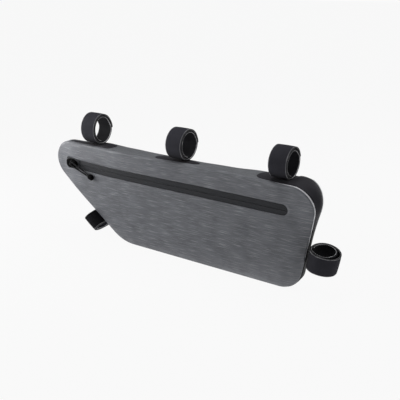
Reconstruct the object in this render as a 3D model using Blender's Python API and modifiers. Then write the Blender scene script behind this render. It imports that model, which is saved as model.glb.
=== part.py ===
"""Bicycle frame bag: a thin soft bag that hangs inside a bicycle frame on five wrapped straps.

+X runs from the nose, behind the head tube, to the end at the seat tube. The zipped front panel
faces -Y and +Z is up. The origin is on the flat underside, halfway along it. Lengths are in metres.
"""

import math
from collections import namedtuple

import bmesh
import bpy
from mathutils import Matrix, Vector

# Outline of the bag seen from the front: four straight edges joined by arcs
BAG_HEIGHT = 0.1170
BOTTOM_RUN = 0.2364
SLANT_ANGLE = math.radians(38.1)
SEAT_LEAN = math.radians(9.8)
NOSE_RADIUS = 0.0240
FRONT_FOOT_RADIUS = 0.0500
REAR_FOOT_RADIUS = 0.0250
SEAT_CORNER_RADIUS = 0.0240

# Depth of the bag across the frame, from the middle plane to the widest edge
HALF_DEPTH = 0.0190
PANEL_SWELL = 0.0030
SWELL_REACH = 0.0400

# Cloth
PANEL_WALL = 0.0016
GUSSET_WALL = 0.0016
PATCH_WALL = 0.0010
RIM_RADIUS = 0.0020
TOUCH_GAP = 0.0003
SEAM_SLOT = 0.0016
PIPING_RADIUS = 0.0005

# Zip in the front panel
ZIP_START = 0.0200
ZIP_LENGTH = 0.3050
ZIP_BELOW_TOP = 0.0270
ZIP_BAND = 0.0120
ZIP_SINK = 0.0003
TAPE_WALL = 0.0010
TAPE_PARTING = 0.0004
GARAGE_LENGTH = 0.0070
GARAGE_WIDTH = 0.0068
GARAGE_WALL = 0.0014
GARAGE_BEVEL = 0.0005
SLIDER_LENGTH = 0.0120
SLIDER_WIDTH = 0.0090
SLIDER_THICKNESS = 0.0026
SLIDER_BEVEL = 0.0009
CORD_RADIUS = 0.0009
CORD_SPREAD = 0.0026
PULL_LENGTH = 0.0380
PULL_ANGLE = math.radians(-18.0)
KNOB_LENGTH = 0.0095
KNOB_WIDTH = 0.0062
KNOB_THICKNESS = 0.0050
KNOB_BEVEL = 0.0012

# Straps
STRAP_WIDTH = 0.0200
STRAP_WALL = 0.0013
STRAP_LAYER_GAP = 0.0005
LOOP_HEIGHT = 0.0348
LOOP_WIDTH = 0.0344
INSET_TURNS = 0.2
TOP_STRAP_PITCH = 0.1262
LAST_TOP_STRAP_SETBACK = 0.0464
SEAT_STRAP_RISE = 0.0447
SEAT_STRAP_FORWARD = 0.0034
DOWN_STRAP_RISE = 0.0455

# Patches under the top straps
PATCH_MARGIN = 0.0008
NOSE_PATCH_LENGTH = 0.0670
NOSE_PATCH_AHEAD = 0.0395
NOSE_PATCH_TIP_SHIFT = 0.7
MIDDLE_PATCH_LENGTH = 0.0580
END_TAB_LENGTH = 0.0300
END_GUSSET_FOOT_SHARE = 0.55

# Fineness of the meshes
STRAIGHT_STEP = 0.0120
ARC_STEP = math.radians(11.0)
CLOSEST_STATIONS = STRAIGHT_STEP / 8
SHARP_ANGLE = math.radians(40.0)
RIM_TURNS = (90, 60, 30, 0)
PANEL_COLUMN = 0.0160
PANEL_ROW = 0.0190
RING_SHARES = (0.35, 0.80)
LOOP_SEGMENTS = 30
END_STEPS = 5
ROUND_END_STEPS = 8
CORD_BEND_STEPS = 6
SHORTEST_EDGE = 0.00002

# Depth of the two panels as shares of HALF_DEPTH, at places along the length from nose to seat end
Section = namedtuple("Section", "place top_front mid_front low_front top_rear mid_rear low_rear")
SECTIONS = (
    Section(0.00, 0.50, 0.50, 0.50, 0.10, 0.20, 0.30),
    Section(0.10, 0.66, 0.60, 0.58, 0.16, 0.40, 0.48),
    Section(0.20, 0.74, 0.58, 0.56, 0.68, 0.60, 0.56),
    Section(0.31, 0.86, 0.57, 0.56, 0.50, 0.58, 0.56),
    Section(0.42, 0.82, 0.56, 0.56, 0.40, 0.56, 0.56),
    Section(0.58, 0.62, 0.56, 0.56, 0.37, 0.54, 0.56),
    Section(0.70, 0.60, 0.56, 0.56, 0.50, 0.54, 0.56),
    Section(0.80, 0.66, 0.56, 0.56, 0.80, 0.54, 0.56),
    Section(0.90, 0.82, 0.56, 0.56, 1.00, 0.46, 0.54),
    Section(1.00, 1.00, 0.58, 0.56, 1.00, 0.00, 0.12),
)

# Height over the gusset of a patch's outer face, and of the gusset's own
PATCH_TOP = TOUCH_GAP + PATCH_WALL
BARE_GUSSET = 0.0

# Wrapped straps. Turns are counted from the bag, toward the front first where the side is 1.
# The seat is the height of the face that the strap is sewn to.
Wrap = namedtuple(
    "Wrap", "name seat height_share width_share side first_turn last_turn lift_turn lift"
)
TOP_WRAPS = (
    Wrap("strap_top_front", PATCH_TOP, 1.03, 1.00, 1, -0.56, 0.76, 0.70, 0.0010),
    Wrap("strap_top_middle", PATCH_TOP, 1.00, 1.00, 1, -0.55, 0.75, 0.70, 0.0010),
    Wrap("strap_top_rear", PATCH_TOP, 0.97, 1.00, 1, -0.52, 0.78, 0.52, 0.0012),
)
SEAT_WRAP = Wrap("strap_seat_tube", PATCH_TOP, 0.875, 1.04, -1, -0.66, 0.53, 0.33, 0.0030)
DOWN_WRAP = Wrap("strap_down_tube", BARE_GUSSET, 0.60, 1.24, 1, -0.55, 0.75, 0.70, 0.0008)

Fillet = namedtuple("Fillet", "arrive leave centre radius turn start_normal")

Material = namedtuple("Material", "color roughness metallic")
MATERIALS = {
    "panel_cloth": Material((0.135, 0.140, 0.150), 0.70, 0.0),
    "gusset_cloth": Material((0.170, 0.175, 0.185), 0.65, 0.0),
    "patch_cloth": Material((0.022, 0.021, 0.024), 0.55, 0.0),
    "zip_tape": Material((0.020, 0.021, 0.024), 0.75, 0.0),
    "zip_slider": Material((0.008, 0.008, 0.009), 0.35, 0.0),
    "pull_cord": Material((0.010, 0.010, 0.011), 0.70, 0.0),
    "pull_grip": Material((0.008, 0.008, 0.009), 0.45, 0.0),
    "piping": Material((0.300, 0.310, 0.330), 0.35, 0.0),
    "strap_web": Material((0.024, 0.024, 0.027), 0.80, 0.0),
}


class Outline:
    """The closed outline, walked clockwise seen from the front, from the nose end of the top edge."""

    def __init__(self):
        nose_reach = BAG_HEIGHT / math.tan(SLANT_ANGLE)
        seat_reach = BAG_HEIGHT * math.tan(SEAT_LEAN)
        front_foot = Vector((-BOTTOM_RUN / 2, 0.0))
        rear_foot = Vector((BOTTOM_RUN / 2, 0.0))
        nose = Vector((front_foot.x - nose_reach, BAG_HEIGHT))
        seat_top = Vector((rear_foot.x + seat_reach, BAG_HEIGHT))
        self.corners = (nose, seat_top, rear_foot, front_foot)
        radii = (NOSE_RADIUS, SEAT_CORNER_RADIUS, REAR_FOOT_RADIUS, FRONT_FOOT_RADIUS)
        fillets = [self._fillet(index, radius) for index, radius in enumerate(radii)]
        self.edges = []
        self.arcs = []
        walked = 0.0
        for index, fillet in enumerate(fillets):
            following = fillets[(index + 1) % 4]
            edge = following.arrive - fillet.leave
            self.edges.append((walked, edge.length, fillet.leave, edge.normalized()))
            walked += edge.length
            arc_length = following.radius * following.turn
            self.arcs.append((walked, arc_length, following))
            walked += arc_length
        self.length = walked

    def _fillet(self, index, radius):
        """The arc at one corner: where it starts and ends, its centre, and how far it turns."""
        corner = self.corners[index]
        arriving = (corner - self.corners[index - 1]).normalized()
        leaving = (self.corners[(index + 1) % 4] - corner).normalized()
        turn = math.acos(arriving.dot(leaving))
        setback = radius * math.tan(turn / 2)
        start = corner - arriving * setback
        inward = Vector((arriving.y, -arriving.x))
        centre = start + inward * radius
        return Fillet(start, corner + leaving * setback, centre, radius, turn, -inward)

    def at(self, walked):
        """The point and the outward normal at a distance along the outline."""
        walked %= self.length
        for start, length, origin, direction in self.edges:
            if start <= walked < start + length:
                return origin + direction * (walked - start), Vector((-direction.y, direction.x))
        for start, length, fillet in self.arcs:
            if start <= walked < start + length:
                angle = (start - walked) / fillet.radius
                normal = Matrix.Rotation(angle, 2) @ fillet.start_normal
                return fillet.centre + normal * fillet.radius, normal
        raise ValueError("no outline at this distance")

    def stations(self, start, end):
        """Distances from start to end, close enough to follow the arcs, with every joint between."""
        marks = []
        for lap in (-self.length, 0.0, self.length):
            for begin, length, _origin, _direction in self.edges:
                marks += spaced(begin + lap, length, STRAIGHT_STEP)
            for begin, length, fillet in self.arcs:
                marks += spaced(begin + lap, length, ARC_STEP * fillet.radius)
        first = start + CLOSEST_STATIONS
        last = end - CLOSEST_STATIONS
        inside = sorted(mark for mark in marks if first < mark < last)
        return [start] + inside + [end]

    def walk_to_top(self, x):
        """The distance along the outline of the point at x on the top edge."""
        start, _length, origin, _direction = self.edges[0]
        return start + x - origin.x


def spaced(start, length, step):
    """Equal steps of at most step from start, without the end point."""
    count = max(1, math.ceil(length / step))
    return [start + length * index / count for index in range(count)]


OUTLINE = Outline()
NOSE_TIP_X = OUTLINE.arcs[3][2].centre.x - NOSE_RADIUS
SEAT_TIP_X = max(OUTLINE.at(mark)[0].x for mark in OUTLINE.stations(0.0, OUTLINE.length))
TOP_EDGE_SEAT_X = OUTLINE.corners[1].x


def smooth(share):
    share = min(max(share, 0.0), 1.0)
    return share * share * (3 - 2 * share)


def table_value(place, column):
    """One column of SECTIONS at a place, eased from row to row."""
    for before, after in zip(SECTIONS, SECTIONS[1:]):
        if place <= after.place:
            share = smooth((place - before.place) / (after.place - before.place))
            return getattr(before, column) * (1 - share) + getattr(after, column) * share
    return getattr(SECTIONS[-1], column)


def edge_depth(x, z, side):
    """Distance of a panel's edge from the middle plane. The side is "front" or "rear"."""
    place = min(max((x - NOSE_TIP_X) / (SEAT_TIP_X - NOSE_TIP_X), 0.0), 1.0)
    rise = min(max(z / BAG_HEIGHT, 0.0), 1.0)
    low = table_value(place, "low_" + side)
    middle = table_value(place, "mid_" + side)
    top = table_value(place, "top_" + side)
    if rise < 0.5:
        share = low + (middle - low) * smooth(rise * 2)
    else:
        share = middle + (top - middle) * (rise * 2 - 1) ** 2
    return HALF_DEPTH * share


def swell(inset):
    """How far a panel's face bulges at a distance inside the outline."""
    reach = min(inset / SWELL_REACH, 1.0)
    return PANEL_SWELL * (1 - (1 - reach) ** 2)


def distance_inside(x, z):
    """How far a point lies inside the outline."""
    point = Vector((x, z))
    marks = OUTLINE.stations(0.0, OUTLINE.length)
    return min((OUTLINE.at(mark)[0] - point).length for mark in marks)


def face_depth(x, z, side):
    """Distance of a panel's outer face from the middle plane, with its swell."""
    return edge_depth(x, z, side) + swell(distance_inside(x, z))


def seam_depth(x, z, side):
    """Distance of the seam line, where panel, piping and gusset meet, from the middle plane."""
    return edge_depth(x, z, side) - RIM_RADIUS - SEAM_SLOT / 2


def clear_scene():
    for item in list(bpy.data.objects):
        bpy.data.objects.remove(item, do_unlink=True)


def new_collection(name):
    collection = bpy.data.collections.new(name)
    bpy.context.scene.collection.children.link(collection)
    return collection


def new_material(name):
    finish = MATERIALS[name]
    material = bpy.data.materials.new(name)
    material.use_nodes = True
    shader = material.node_tree.nodes["Principled BSDF"]
    shader.inputs["Base Color"].default_value = (*finish.color, 1.0)
    shader.inputs["Roughness"].default_value = finish.roughness
    shader.inputs["Metallic"].default_value = finish.metallic
    material.diffuse_color = (*finish.color, 1.0)
    return material


def add_object(name, data, material, collection):
    item = bpy.data.objects.new(name, data)
    data.materials.append(material)
    collection.objects.link(item)
    return item


def mesh_from(name, build):
    """A new mesh that build fills through bmesh."""
    mesh = bpy.data.meshes.new(name)
    work = bmesh.new()
    build(work)
    work.normal_update()
    work.to_mesh(mesh)
    work.free()
    for polygon in mesh.polygons:
        polygon.use_smooth = True
    mesh.set_sharp_from_angle(angle=SHARP_ANGLE)
    return mesh


def solidify(item, thickness):
    """Gives an open surface its wall, on the side away from its normals."""
    modifier = item.modifiers.new("wall", "SOLIDIFY")
    modifier.thickness = thickness
    modifier.offset = -1
    modifier.use_even_offset = True


def cut(item, cutter):
    modifier = item.modifiers.new("cut_" + cutter.name, "BOOLEAN")
    modifier.operation = "DIFFERENCE"
    modifier.solver = "EXACT"
    modifier.object = cutter


def flat_face(work, points):
    """One face in the XZ plane."""
    return work.faces.new([work.verts.new((point.x, 0.0, point.y)) for point in points])


def slice_faces(work, faces, normal, start, end, step):
    """Cuts the faces by parallel planes, so that they can be bent between them."""
    count = max(1, round((end - start) / step))
    geometry = set(faces)
    for face in faces:
        geometry.update(face.edges)
        geometry.update(face.verts)
    for index in range(1, count):
        place = start + (end - start) * index / count
        made = bmesh.ops.bisect_plane(
            work, geom=list(geometry), plane_co=normal * place, plane_no=normal
        )
        geometry.update(made["geom"])
        geometry.update(made["geom_cut"])
        geometry = {item for item in geometry if item.is_valid}
    bmesh.ops.dissolve_degenerate(work, dist=SHORTEST_EDGE, edges=work.edges[:])
    return {item for item in geometry if item.is_valid}


def turn_faces(work, direction):
    """Makes the faces agree and look along a direction."""
    bmesh.ops.recalc_face_normals(work, faces=work.faces[:])
    work.normal_update()
    looking = sum(face.normal.dot(direction) * face.calc_area() for face in work.faces)
    if looking < 0:
        bmesh.ops.reverse_faces(work, faces=work.faces[:])


def ring_of(work, marks, inset, depth):
    """One ring of a panel: its vertices at a distance inside the outline."""
    ring = []
    for mark in marks:
        point, normal = OUTLINE.at(mark)
        inner = point - normal * inset
        ring.append(work.verts.new((inner.x, -depth(point, inner), inner.y)))
    return ring


def build_panel(work, side):
    """A panel as a shallow dish: a bent face with a rounded rim that turns in to the seam."""
    marks = OUTLINE.stations(0.0, OUTLINE.length)[:-1]
    rings = []
    for turn in RIM_TURNS:
        sunk = RIM_RADIUS * (1 - math.cos(math.radians(turn)))
        inset = RIM_RADIUS * (1 - math.sin(math.radians(turn)))
        rings.append(
            ring_of(
                work,
                marks,
                inset,
                lambda point, _inner, sunk=sunk: edge_depth(point.x, point.y, side) - sunk,
            )
        )
    for share in RING_SHARES:
        inset = NOSE_RADIUS * share
        rings.append(
            ring_of(
                work,
                marks,
                inset,
                lambda _point, inner, inset=inset: edge_depth(inner.x, inner.y, side)
                + swell(inset),
            )
        )
    for outer, inner in zip(rings, rings[1:]):
        bridge_rings(work, outer, inner)
    shaped = set(work.verts)
    middle = [work.faces.new(rings[-1])]
    for vertex in rings[-1]:
        vertex.co.y = 0.0
    sliced = slice_faces(work, middle, Vector((1, 0, 0)), NOSE_TIP_X, SEAT_TIP_X, PANEL_COLUMN)
    faces = [item for item in sliced if isinstance(item, bmesh.types.BMFace)]
    slice_faces(work, faces, Vector((0, 0, 1)), 0.0, BAG_HEIGHT, PANEL_ROW)
    inner_ring = set(rings[-1])
    for vertex in work.verts:
        if vertex in inner_ring or vertex not in shaped:
            vertex.co.y = -face_depth(vertex.co.x, vertex.co.z, side)
    turn_faces(work, Vector((0, -1, 0)))
    if side == "rear":
        for vertex in work.verts:
            vertex.co.y *= -1
        bmesh.ops.reverse_faces(work, faces=work.faces[:])


def bridge_rings(work, outer, inner):
    """Joins two closed rings of as many vertices by quads."""
    for index in range(len(outer)):
        after = (index + 1) % len(outer)
        work.faces.new((outer[index], outer[after], inner[after], inner[index]))


def make_panel(side, name, materials, collection):
    mesh = mesh_from(name, lambda work: build_panel(work, side))
    item = add_object(name, mesh, materials["panel_cloth"], collection)
    solidify(item, PANEL_WALL)
    return item


def loft_strip(work, marks, bounds, lift):
    """A strip along the outline. Bounds gives its front and rear Y at each distance and point."""
    rows = []
    for mark in marks:
        point, normal = OUTLINE.at(mark)
        outer = point + normal * lift
        front, rear = bounds(mark, point)
        rows.append(
            (
                work.verts.new((outer.x, front, outer.y)),
                work.verts.new((outer.x, rear, outer.y)),
            )
        )
    return rows


def bridge_rows(work, rows, closed):
    pairs = list(zip(rows, rows[1:]))
    if closed:
        pairs.append((rows[-1], rows[0]))
    for before, after in pairs:
        work.faces.new((before[0], after[0], after[1], before[1]))


def gusset_bounds(_mark, point):
    """Front and rear edges of the main gusset, each half the seam's slot from the seam."""
    front = -seam_depth(point.x, point.y, "front") + SEAM_SLOT / 2
    rear = seam_depth(point.x, point.y, "rear") - SEAM_SLOT / 2
    return front, rear


def make_gusset(materials, collection):
    """The band that runs round the bag between the two panels."""

    def build(work):
        marks = OUTLINE.stations(0.0, OUTLINE.length)[:-1]
        rows = loft_strip(work, marks, gusset_bounds, 0.0)
        bridge_rows(work, rows, closed=True)

    item = add_object(
        "main_gusset", mesh_from("main_gusset", build), materials["gusset_cloth"], collection
    )
    solidify(item, GUSSET_WALL)
    return item


def rounded_end_marks(start, end, radius):
    """Distances that follow a half-round tip at each end of a patch."""
    tips = [radius * (1 - math.cos(math.pi / 2 * step / END_STEPS)) for step in range(END_STEPS)]
    first = [start + tip for tip in tips]
    last = [end - tip for tip in reversed(tips)]
    return first, OUTLINE.stations(start + radius, end - radius), last


def make_patch(name, start, end, tip_shifts, materials, collection):
    """A thin patch with round ends on the outer side of the gusset.

    The tip shifts move the two tips toward the rear, as shares of the patch's half width.
    """
    front, rear = gusset_bounds(start, OUTLINE.at(start)[0])
    radius = (rear - front) / 2
    narrowest = PATCH_WALL

    def bounds(mark, point):
        front, rear = gusset_bounds(mark, point)
        front += PATCH_MARGIN
        rear -= PATCH_MARGIN
        for reach, shift in ((mark - start, tip_shifts[0]), (end - mark, tip_shifts[1])):
            if reach < radius:
                tip = (front + rear) / 2 + shift * (rear - front) / 2
                share = math.sqrt(max(0.0, 1 - (1 - reach / radius) ** 2))
                front = min(tip - (tip - front) * share, tip - narrowest)
                rear = max(tip + (rear - tip) * share, tip + narrowest)
        return front, rear

    def build(work):
        first, between, last = rounded_end_marks(start, end, radius)
        rows = loft_strip(work, first + between + last, bounds, PATCH_TOP)
        bridge_rows(work, rows, closed=False)

    item = add_object(name, mesh_from(name, build), materials["patch_cloth"], collection)
    solidify(item, PATCH_WALL)
    return item


def make_piping(side, name, materials, collection):
    """A thin cord-like welt that fills the seam between a panel and the gusset."""
    curve = bpy.data.curves.new(name, "CURVE")
    curve.dimensions = "3D"
    curve.bevel_depth = PIPING_RADIUS
    curve.bevel_resolution = 1
    curve.use_fill_caps = True
    marks = OUTLINE.stations(0.0, OUTLINE.length)[:-1]
    spline = curve.splines.new("POLY")
    spline.points.add(len(marks) - 1)
    sign = -1 if side == "front" else 1
    for mark, target in zip(marks, spline.points):
        point, normal = OUTLINE.at(mark)
        sunk = point - normal * PIPING_RADIUS
        target.co = (sunk.x, sign * seam_depth(point.x, point.y, side), sunk.y, 1.0)
    spline.use_cyclic_u = True
    return add_object(name, curve, materials["piping"], collection)


def stadium(centre, length, width):
    """Points of an outline with two half-round ends, counter-clockwise."""
    radius = width / 2
    half = length / 2 - radius
    points = []
    for middle, begin in ((half, -math.pi / 2), (-half, math.pi / 2)):
        for step in range(ROUND_END_STEPS + 1):
            angle = begin + math.pi * step / ROUND_END_STEPS
            points.append(
                Vector(
                    (
                        centre.x + middle + radius * math.cos(angle),
                        centre.y + radius * math.sin(angle),
                    )
                )
            )
    return points


def zip_centre():
    x = NOSE_TIP_X + ZIP_START + ZIP_LENGTH / 2
    return Vector((x, BAG_HEIGHT - ZIP_BELOW_TOP))


def make_slot_cutter(materials, collection):
    """The prism that cuts the zip's slot through the front panel."""
    past_face = 2 * (HALF_DEPTH + PANEL_SWELL)

    def build(work):
        flat_face(work, stadium(zip_centre(), ZIP_LENGTH, ZIP_BAND))
        made = bmesh.ops.extrude_face_region(work, geom=work.faces[:])["geom"]
        far = [item for item in made if isinstance(item, bmesh.types.BMVert)]
        bmesh.ops.translate(work, verts=far, vec=(0.0, -past_face, 0.0))
        bmesh.ops.recalc_face_normals(work, faces=work.faces[:])

    item = add_object(
        "zip_slot_cutter", mesh_from("zip_slot_cutter", build), materials["zip_tape"], collection
    )
    item.hide_render = True
    item.display_type = "WIRE"
    return item


def make_tape(name, upper, materials, collection):
    """One half of the zip's tape, which lies in the slot just under the panel's face."""
    centre = zip_centre()
    length = ZIP_LENGTH - 2 * TOUCH_GAP
    width = ZIP_BAND - 2 * TOUCH_GAP
    start = centre.x - length / 2
    direction = 1 if upper else -1

    def build(work):
        flat_face(work, stadium(centre, length, width))
        bmesh.ops.bisect_plane(
            work,
            geom=work.verts[:] + work.edges[:] + work.faces[:],
            plane_co=(0.0, 0.0, centre.y + direction * TAPE_PARTING / 2),
            plane_no=(0.0, 0.0, direction),
            clear_inner=True,
        )
        slice_faces(
            work, work.faces[:], Vector((1, 0, 0)), start, start + length, STRAIGHT_STEP
        )
        for vertex in work.verts:
            vertex.co.y = ZIP_SINK - face_depth(vertex.co.x, vertex.co.z, "front")
        turn_faces(work, Vector((0, -1, 0)))

    item = add_object(name, mesh_from(name, build), materials["zip_tape"], collection)
    solidify(item, TAPE_WALL)
    return item


def rounded_plate(name, outline, front_y, thickness, bevel, material, collection):
    """A flat plate with softened edges, its outer face at front_y."""

    def build(work):
        flat_face(work, outline)
        made = bmesh.ops.extrude_face_region(work, geom=work.faces[:])["geom"]
        back = [item for item in made if isinstance(item, bmesh.types.BMVert)]
        bmesh.ops.translate(work, verts=back, vec=(0.0, thickness, 0.0))
        bmesh.ops.translate(work, verts=work.verts[:], vec=(0.0, front_y, 0.0))
        bmesh.ops.recalc_face_normals(work, faces=work.faces[:])

    item = add_object(name, mesh_from(name, build), material, collection)
    edge = item.modifiers.new("soft edge", "BEVEL")
    edge.width = bevel
    edge.segments = 2
    edge.limit_method = "ANGLE"
    return item


def make_zip_slider(materials, collection):
    """The slider, parked at the nose end of the closed zip, and the hood that it parks under."""
    centre = zip_centre()
    start_x = centre.x - ZIP_LENGTH / 2
    hood_centre = Vector((start_x + GARAGE_LENGTH / 2, centre.y))
    hood_face = face_depth(hood_centre.x + GARAGE_LENGTH / 2, hood_centre.y, "front")
    hood_y = -hood_face - TOUCH_GAP - GARAGE_WALL
    rounded_plate(
        "zip_garage",
        stadium(hood_centre, GARAGE_LENGTH, GARAGE_WIDTH),
        hood_y,
        GARAGE_WALL,
        GARAGE_BEVEL,
        materials["zip_slider"],
        collection,
    )
    body_centre = Vector((start_x + GARAGE_LENGTH + TOUCH_GAP + SLIDER_LENGTH / 2, centre.y))
    body_face = face_depth(body_centre.x + SLIDER_LENGTH / 2, body_centre.y, "front")
    body_y = -body_face - TOUCH_GAP - SLIDER_THICKNESS
    rounded_plate(
        "zip_slider",
        stadium(body_centre, SLIDER_LENGTH, SLIDER_WIDTH),
        body_y,
        SLIDER_THICKNESS,
        SLIDER_BEVEL,
        materials["zip_slider"],
        collection,
    )
    return body_centre, body_y


def make_zip_pull(slider_centre, slider_y, materials, collection):
    """The doubled pull cord that hangs from the slider, and the grip at its end."""
    along = Vector((math.cos(PULL_ANGLE), math.sin(PULL_ANGLE)))
    across = Vector((-along.y, along.x))
    cord_y = slider_y - TOUCH_GAP - CORD_RADIUS
    curve = bpy.data.curves.new("zip_pull_loop", "CURVE")
    curve.dimensions = "3D"
    curve.bevel_depth = CORD_RADIUS
    curve.bevel_resolution = 2
    curve.use_fill_caps = True
    bend = CORD_SPREAD / 2
    reach = PULL_LENGTH - KNOB_LENGTH - TOUCH_GAP
    route = [(reach, bend), (reach / 2, bend), (0.0, bend)]
    for step in range(1, CORD_BEND_STEPS):
        angle = math.pi / 2 + math.pi * step / CORD_BEND_STEPS
        route.append((bend * math.cos(angle), bend * math.sin(angle)))
    route += [(0.0, -bend), (reach / 2, -bend), (reach, -bend)]
    spline = curve.splines.new("POLY")
    spline.points.add(len(route) - 1)
    for (forward, sideways), target in zip(route, spline.points):
        point = slider_centre + along * forward + across * sideways
        target.co = (point.x, cord_y, point.y, 1.0)
    add_object("zip_pull_loop", curve, materials["pull_cord"], collection)
    knob_centre = slider_centre + along * (PULL_LENGTH - KNOB_LENGTH / 2)
    outline = []
    for point in stadium(Vector((0.0, 0.0)), KNOB_LENGTH, KNOB_WIDTH):
        outline.append(knob_centre + along * point.x + across * point.y)
    rounded_plate(
        "zip_pull_grip",
        outline,
        cord_y - KNOB_THICKNESS / 2,
        KNOB_THICKNESS,
        KNOB_BEVEL,
        materials["pull_grip"],
        collection,
    )


def wrap_profile(wrap):
    """The outer face of a strap, as its height over the outline and its place sideways.

    It runs from the tail inside, through the bottom at turn 0, where the strap is sewn on, to the
    free end outside. Where it passes itself, the outer layer clears the inner one.
    """
    pitch = STRAP_WALL + STRAP_LAYER_GAP
    half_height = LOOP_HEIGHT * wrap.height_share / 2
    half_width = LOOP_WIDTH * wrap.width_share / 2
    centre = wrap.seat + TOUCH_GAP + half_height
    turns = wrap.last_turn - wrap.first_turn
    count = math.ceil(LOOP_SEGMENTS * turns)
    profile = []
    for step in range(count + 1):
        turn = wrap.first_turn + turns * step / count
        inset = pitch * smooth(-turn / INSET_TURNS)
        lift = wrap.lift * smooth((turn - wrap.lift_turn) / (wrap.last_turn - wrap.lift_turn))
        angle = turn * 2 * math.pi
        upward = centre - math.cos(angle) * (half_height - inset + lift)
        sideways = -wrap.side * math.sin(angle) * (half_width - inset + lift)
        profile.append((upward, sideways))
    return profile


def make_strap(wrap, foot, outward, middle_y, materials, collection):
    """A strap wrapped round a frame tube, standing on the outline at foot."""
    along = Vector((outward.y, -outward.x))
    half = STRAP_WIDTH / 2

    def build(work):
        rows = []
        for upward, sideways in wrap_profile(wrap):
            centre = foot + outward * upward
            near = centre - along * half
            far = centre + along * half
            y = middle_y + sideways
            pair = (work.verts.new((near.x, y, near.y)), work.verts.new((far.x, y, far.y)))
            rows.append(pair[:: -wrap.side])
        bridge_rows(work, rows, closed=False)

    item = add_object(
        wrap.name, mesh_from(wrap.name, build), materials["strap_web"], collection
    )
    solidify(item, STRAP_WALL)
    return item


def make_straps(materials, collection):
    last_x = TOP_EDGE_SEAT_X - LAST_TOP_STRAP_SETBACK
    for index, wrap in enumerate(TOP_WRAPS):
        x = last_x - TOP_STRAP_PITCH * (len(TOP_WRAPS) - 1 - index)
        point, normal = OUTLINE.at(OUTLINE.walk_to_top(x))
        make_strap(wrap, point, normal, 0.0, materials, collection)
    seat_direction = (OUTLINE.corners[1] - OUTLINE.corners[2]).normalized()
    seat_foot = OUTLINE.corners[2] + seat_direction * SEAT_STRAP_RISE
    seat_normal = Vector((seat_direction.y, -seat_direction.x))
    make_strap(SEAT_WRAP, seat_foot, seat_normal, -SEAT_STRAP_FORWARD, materials, collection)
    slant_direction = (OUTLINE.corners[0] - OUTLINE.corners[3]).normalized()
    slant_foot = OUTLINE.corners[3] + slant_direction * DOWN_STRAP_RISE
    slant_normal = Vector((-slant_direction.y, slant_direction.x))
    make_strap(DOWN_WRAP, slant_foot, slant_normal, 0.0, materials, collection)


def make_patches(materials, collection):
    last_x = TOP_EDGE_SEAT_X - LAST_TOP_STRAP_SETBACK
    middle = OUTLINE.walk_to_top(last_x - TOP_STRAP_PITCH)
    nose = OUTLINE.walk_to_top(last_x - 2 * TOP_STRAP_PITCH) - NOSE_PATCH_AHEAD
    make_patch(
        "patch_top_front",
        nose,
        nose + NOSE_PATCH_LENGTH,
        (0.0, NOSE_PATCH_TIP_SHIFT),
        materials,
        collection,
    )
    make_patch(
        "patch_top_middle",
        middle - MIDDLE_PATCH_LENGTH / 2,
        middle + MIDDLE_PATCH_LENGTH / 2,
        (0.0, 0.0),
        materials,
        collection,
    )
    tab_start = OUTLINE.walk_to_top(last_x) - END_TAB_LENGTH
    foot_start, foot_length, _fillet = OUTLINE.arcs[1]
    make_patch(
        "end_gusset",
        tab_start,
        foot_start + foot_length * END_GUSSET_FOOT_SHARE,
        (0.0, 0.0),
        materials,
        collection,
    )


def main():
    clear_scene()
    bag = new_collection("bicycle_frame_bag")
    cutters = new_collection("cutters")
    materials = {name: new_material(name) for name in MATERIALS}
    front = make_panel("front", "front_panel", materials, bag)
    cut(front, make_slot_cutter(materials, cutters))
    make_panel("rear", "rear_panel", materials, bag)
    make_gusset(materials, bag)
    make_piping("front", "piping_front", materials, bag)
    make_piping("rear", "piping_rear", materials, bag)
    make_tape("zip_tape_upper", True, materials, bag)
    make_tape("zip_tape_lower", False, materials, bag)
    slider_centre, slider_y = make_zip_slider(materials, bag)
    make_zip_pull(slider_centre, slider_y, materials, bag)
    make_patches(materials, bag)
    make_straps(materials, bag)


if __name__ == "__main__":
    main()
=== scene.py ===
"""Looks of the bicycle frame bag: coated heather cloth, welded seams, zip and wrapped straps.

Lengths are in metres in the part's own frame: +X runs from the nose to the seat tube, the zipped
panel faces -Y and +Z is up. The bag's outline and depths repeat the sizes that its solids have.
"""

import logging
import math
from collections.abc import Callable, Sequence
from dataclasses import dataclass, field
from enum import Enum

import bmesh
import bpy
import numpy as np
from mathutils import Matrix, Vector, noise
from mathutils.geometry import delaunay_2d_cdt

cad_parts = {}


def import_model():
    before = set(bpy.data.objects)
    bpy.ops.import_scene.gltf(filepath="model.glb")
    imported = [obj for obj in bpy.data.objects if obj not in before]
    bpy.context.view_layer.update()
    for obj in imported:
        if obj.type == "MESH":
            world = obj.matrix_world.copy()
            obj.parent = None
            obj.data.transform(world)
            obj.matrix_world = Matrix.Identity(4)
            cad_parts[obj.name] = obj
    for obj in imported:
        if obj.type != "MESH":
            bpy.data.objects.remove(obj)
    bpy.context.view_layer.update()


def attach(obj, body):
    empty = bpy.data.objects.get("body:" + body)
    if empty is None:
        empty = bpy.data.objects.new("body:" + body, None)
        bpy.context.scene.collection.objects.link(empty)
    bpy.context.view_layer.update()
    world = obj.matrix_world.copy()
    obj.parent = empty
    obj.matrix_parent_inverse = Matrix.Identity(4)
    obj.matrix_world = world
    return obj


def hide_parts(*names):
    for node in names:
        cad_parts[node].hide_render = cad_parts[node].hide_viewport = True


log = logging.getLogger("frame_bag")

CLOTH_MAP = "cloth"
EDGE_MASK = "edge"
# The hook mask darkens the hook side of the webbing, and carries painted shade: strap roots and
# sides, the down-tube strap's outer face and the end piece near the foot.
HOOK_AND_SHADE_MASK = "hook"

Place = Callable[[float, float], Vector]
Point = tuple[float, float]
Colour = tuple[float, float, float]
Socket = bpy.types.NodeSocket


class Side(Enum):
    """The two large panels. The value is the sign of Y that a panel faces."""

    FRONT = -1
    REAR = 1


def smooth(share: float) -> float:
    """Eases a share from 0 to 1, flat at both ends."""
    share = min(max(share, 0.0), 1.0)
    return share * share * (3 - 2 * share)


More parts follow.
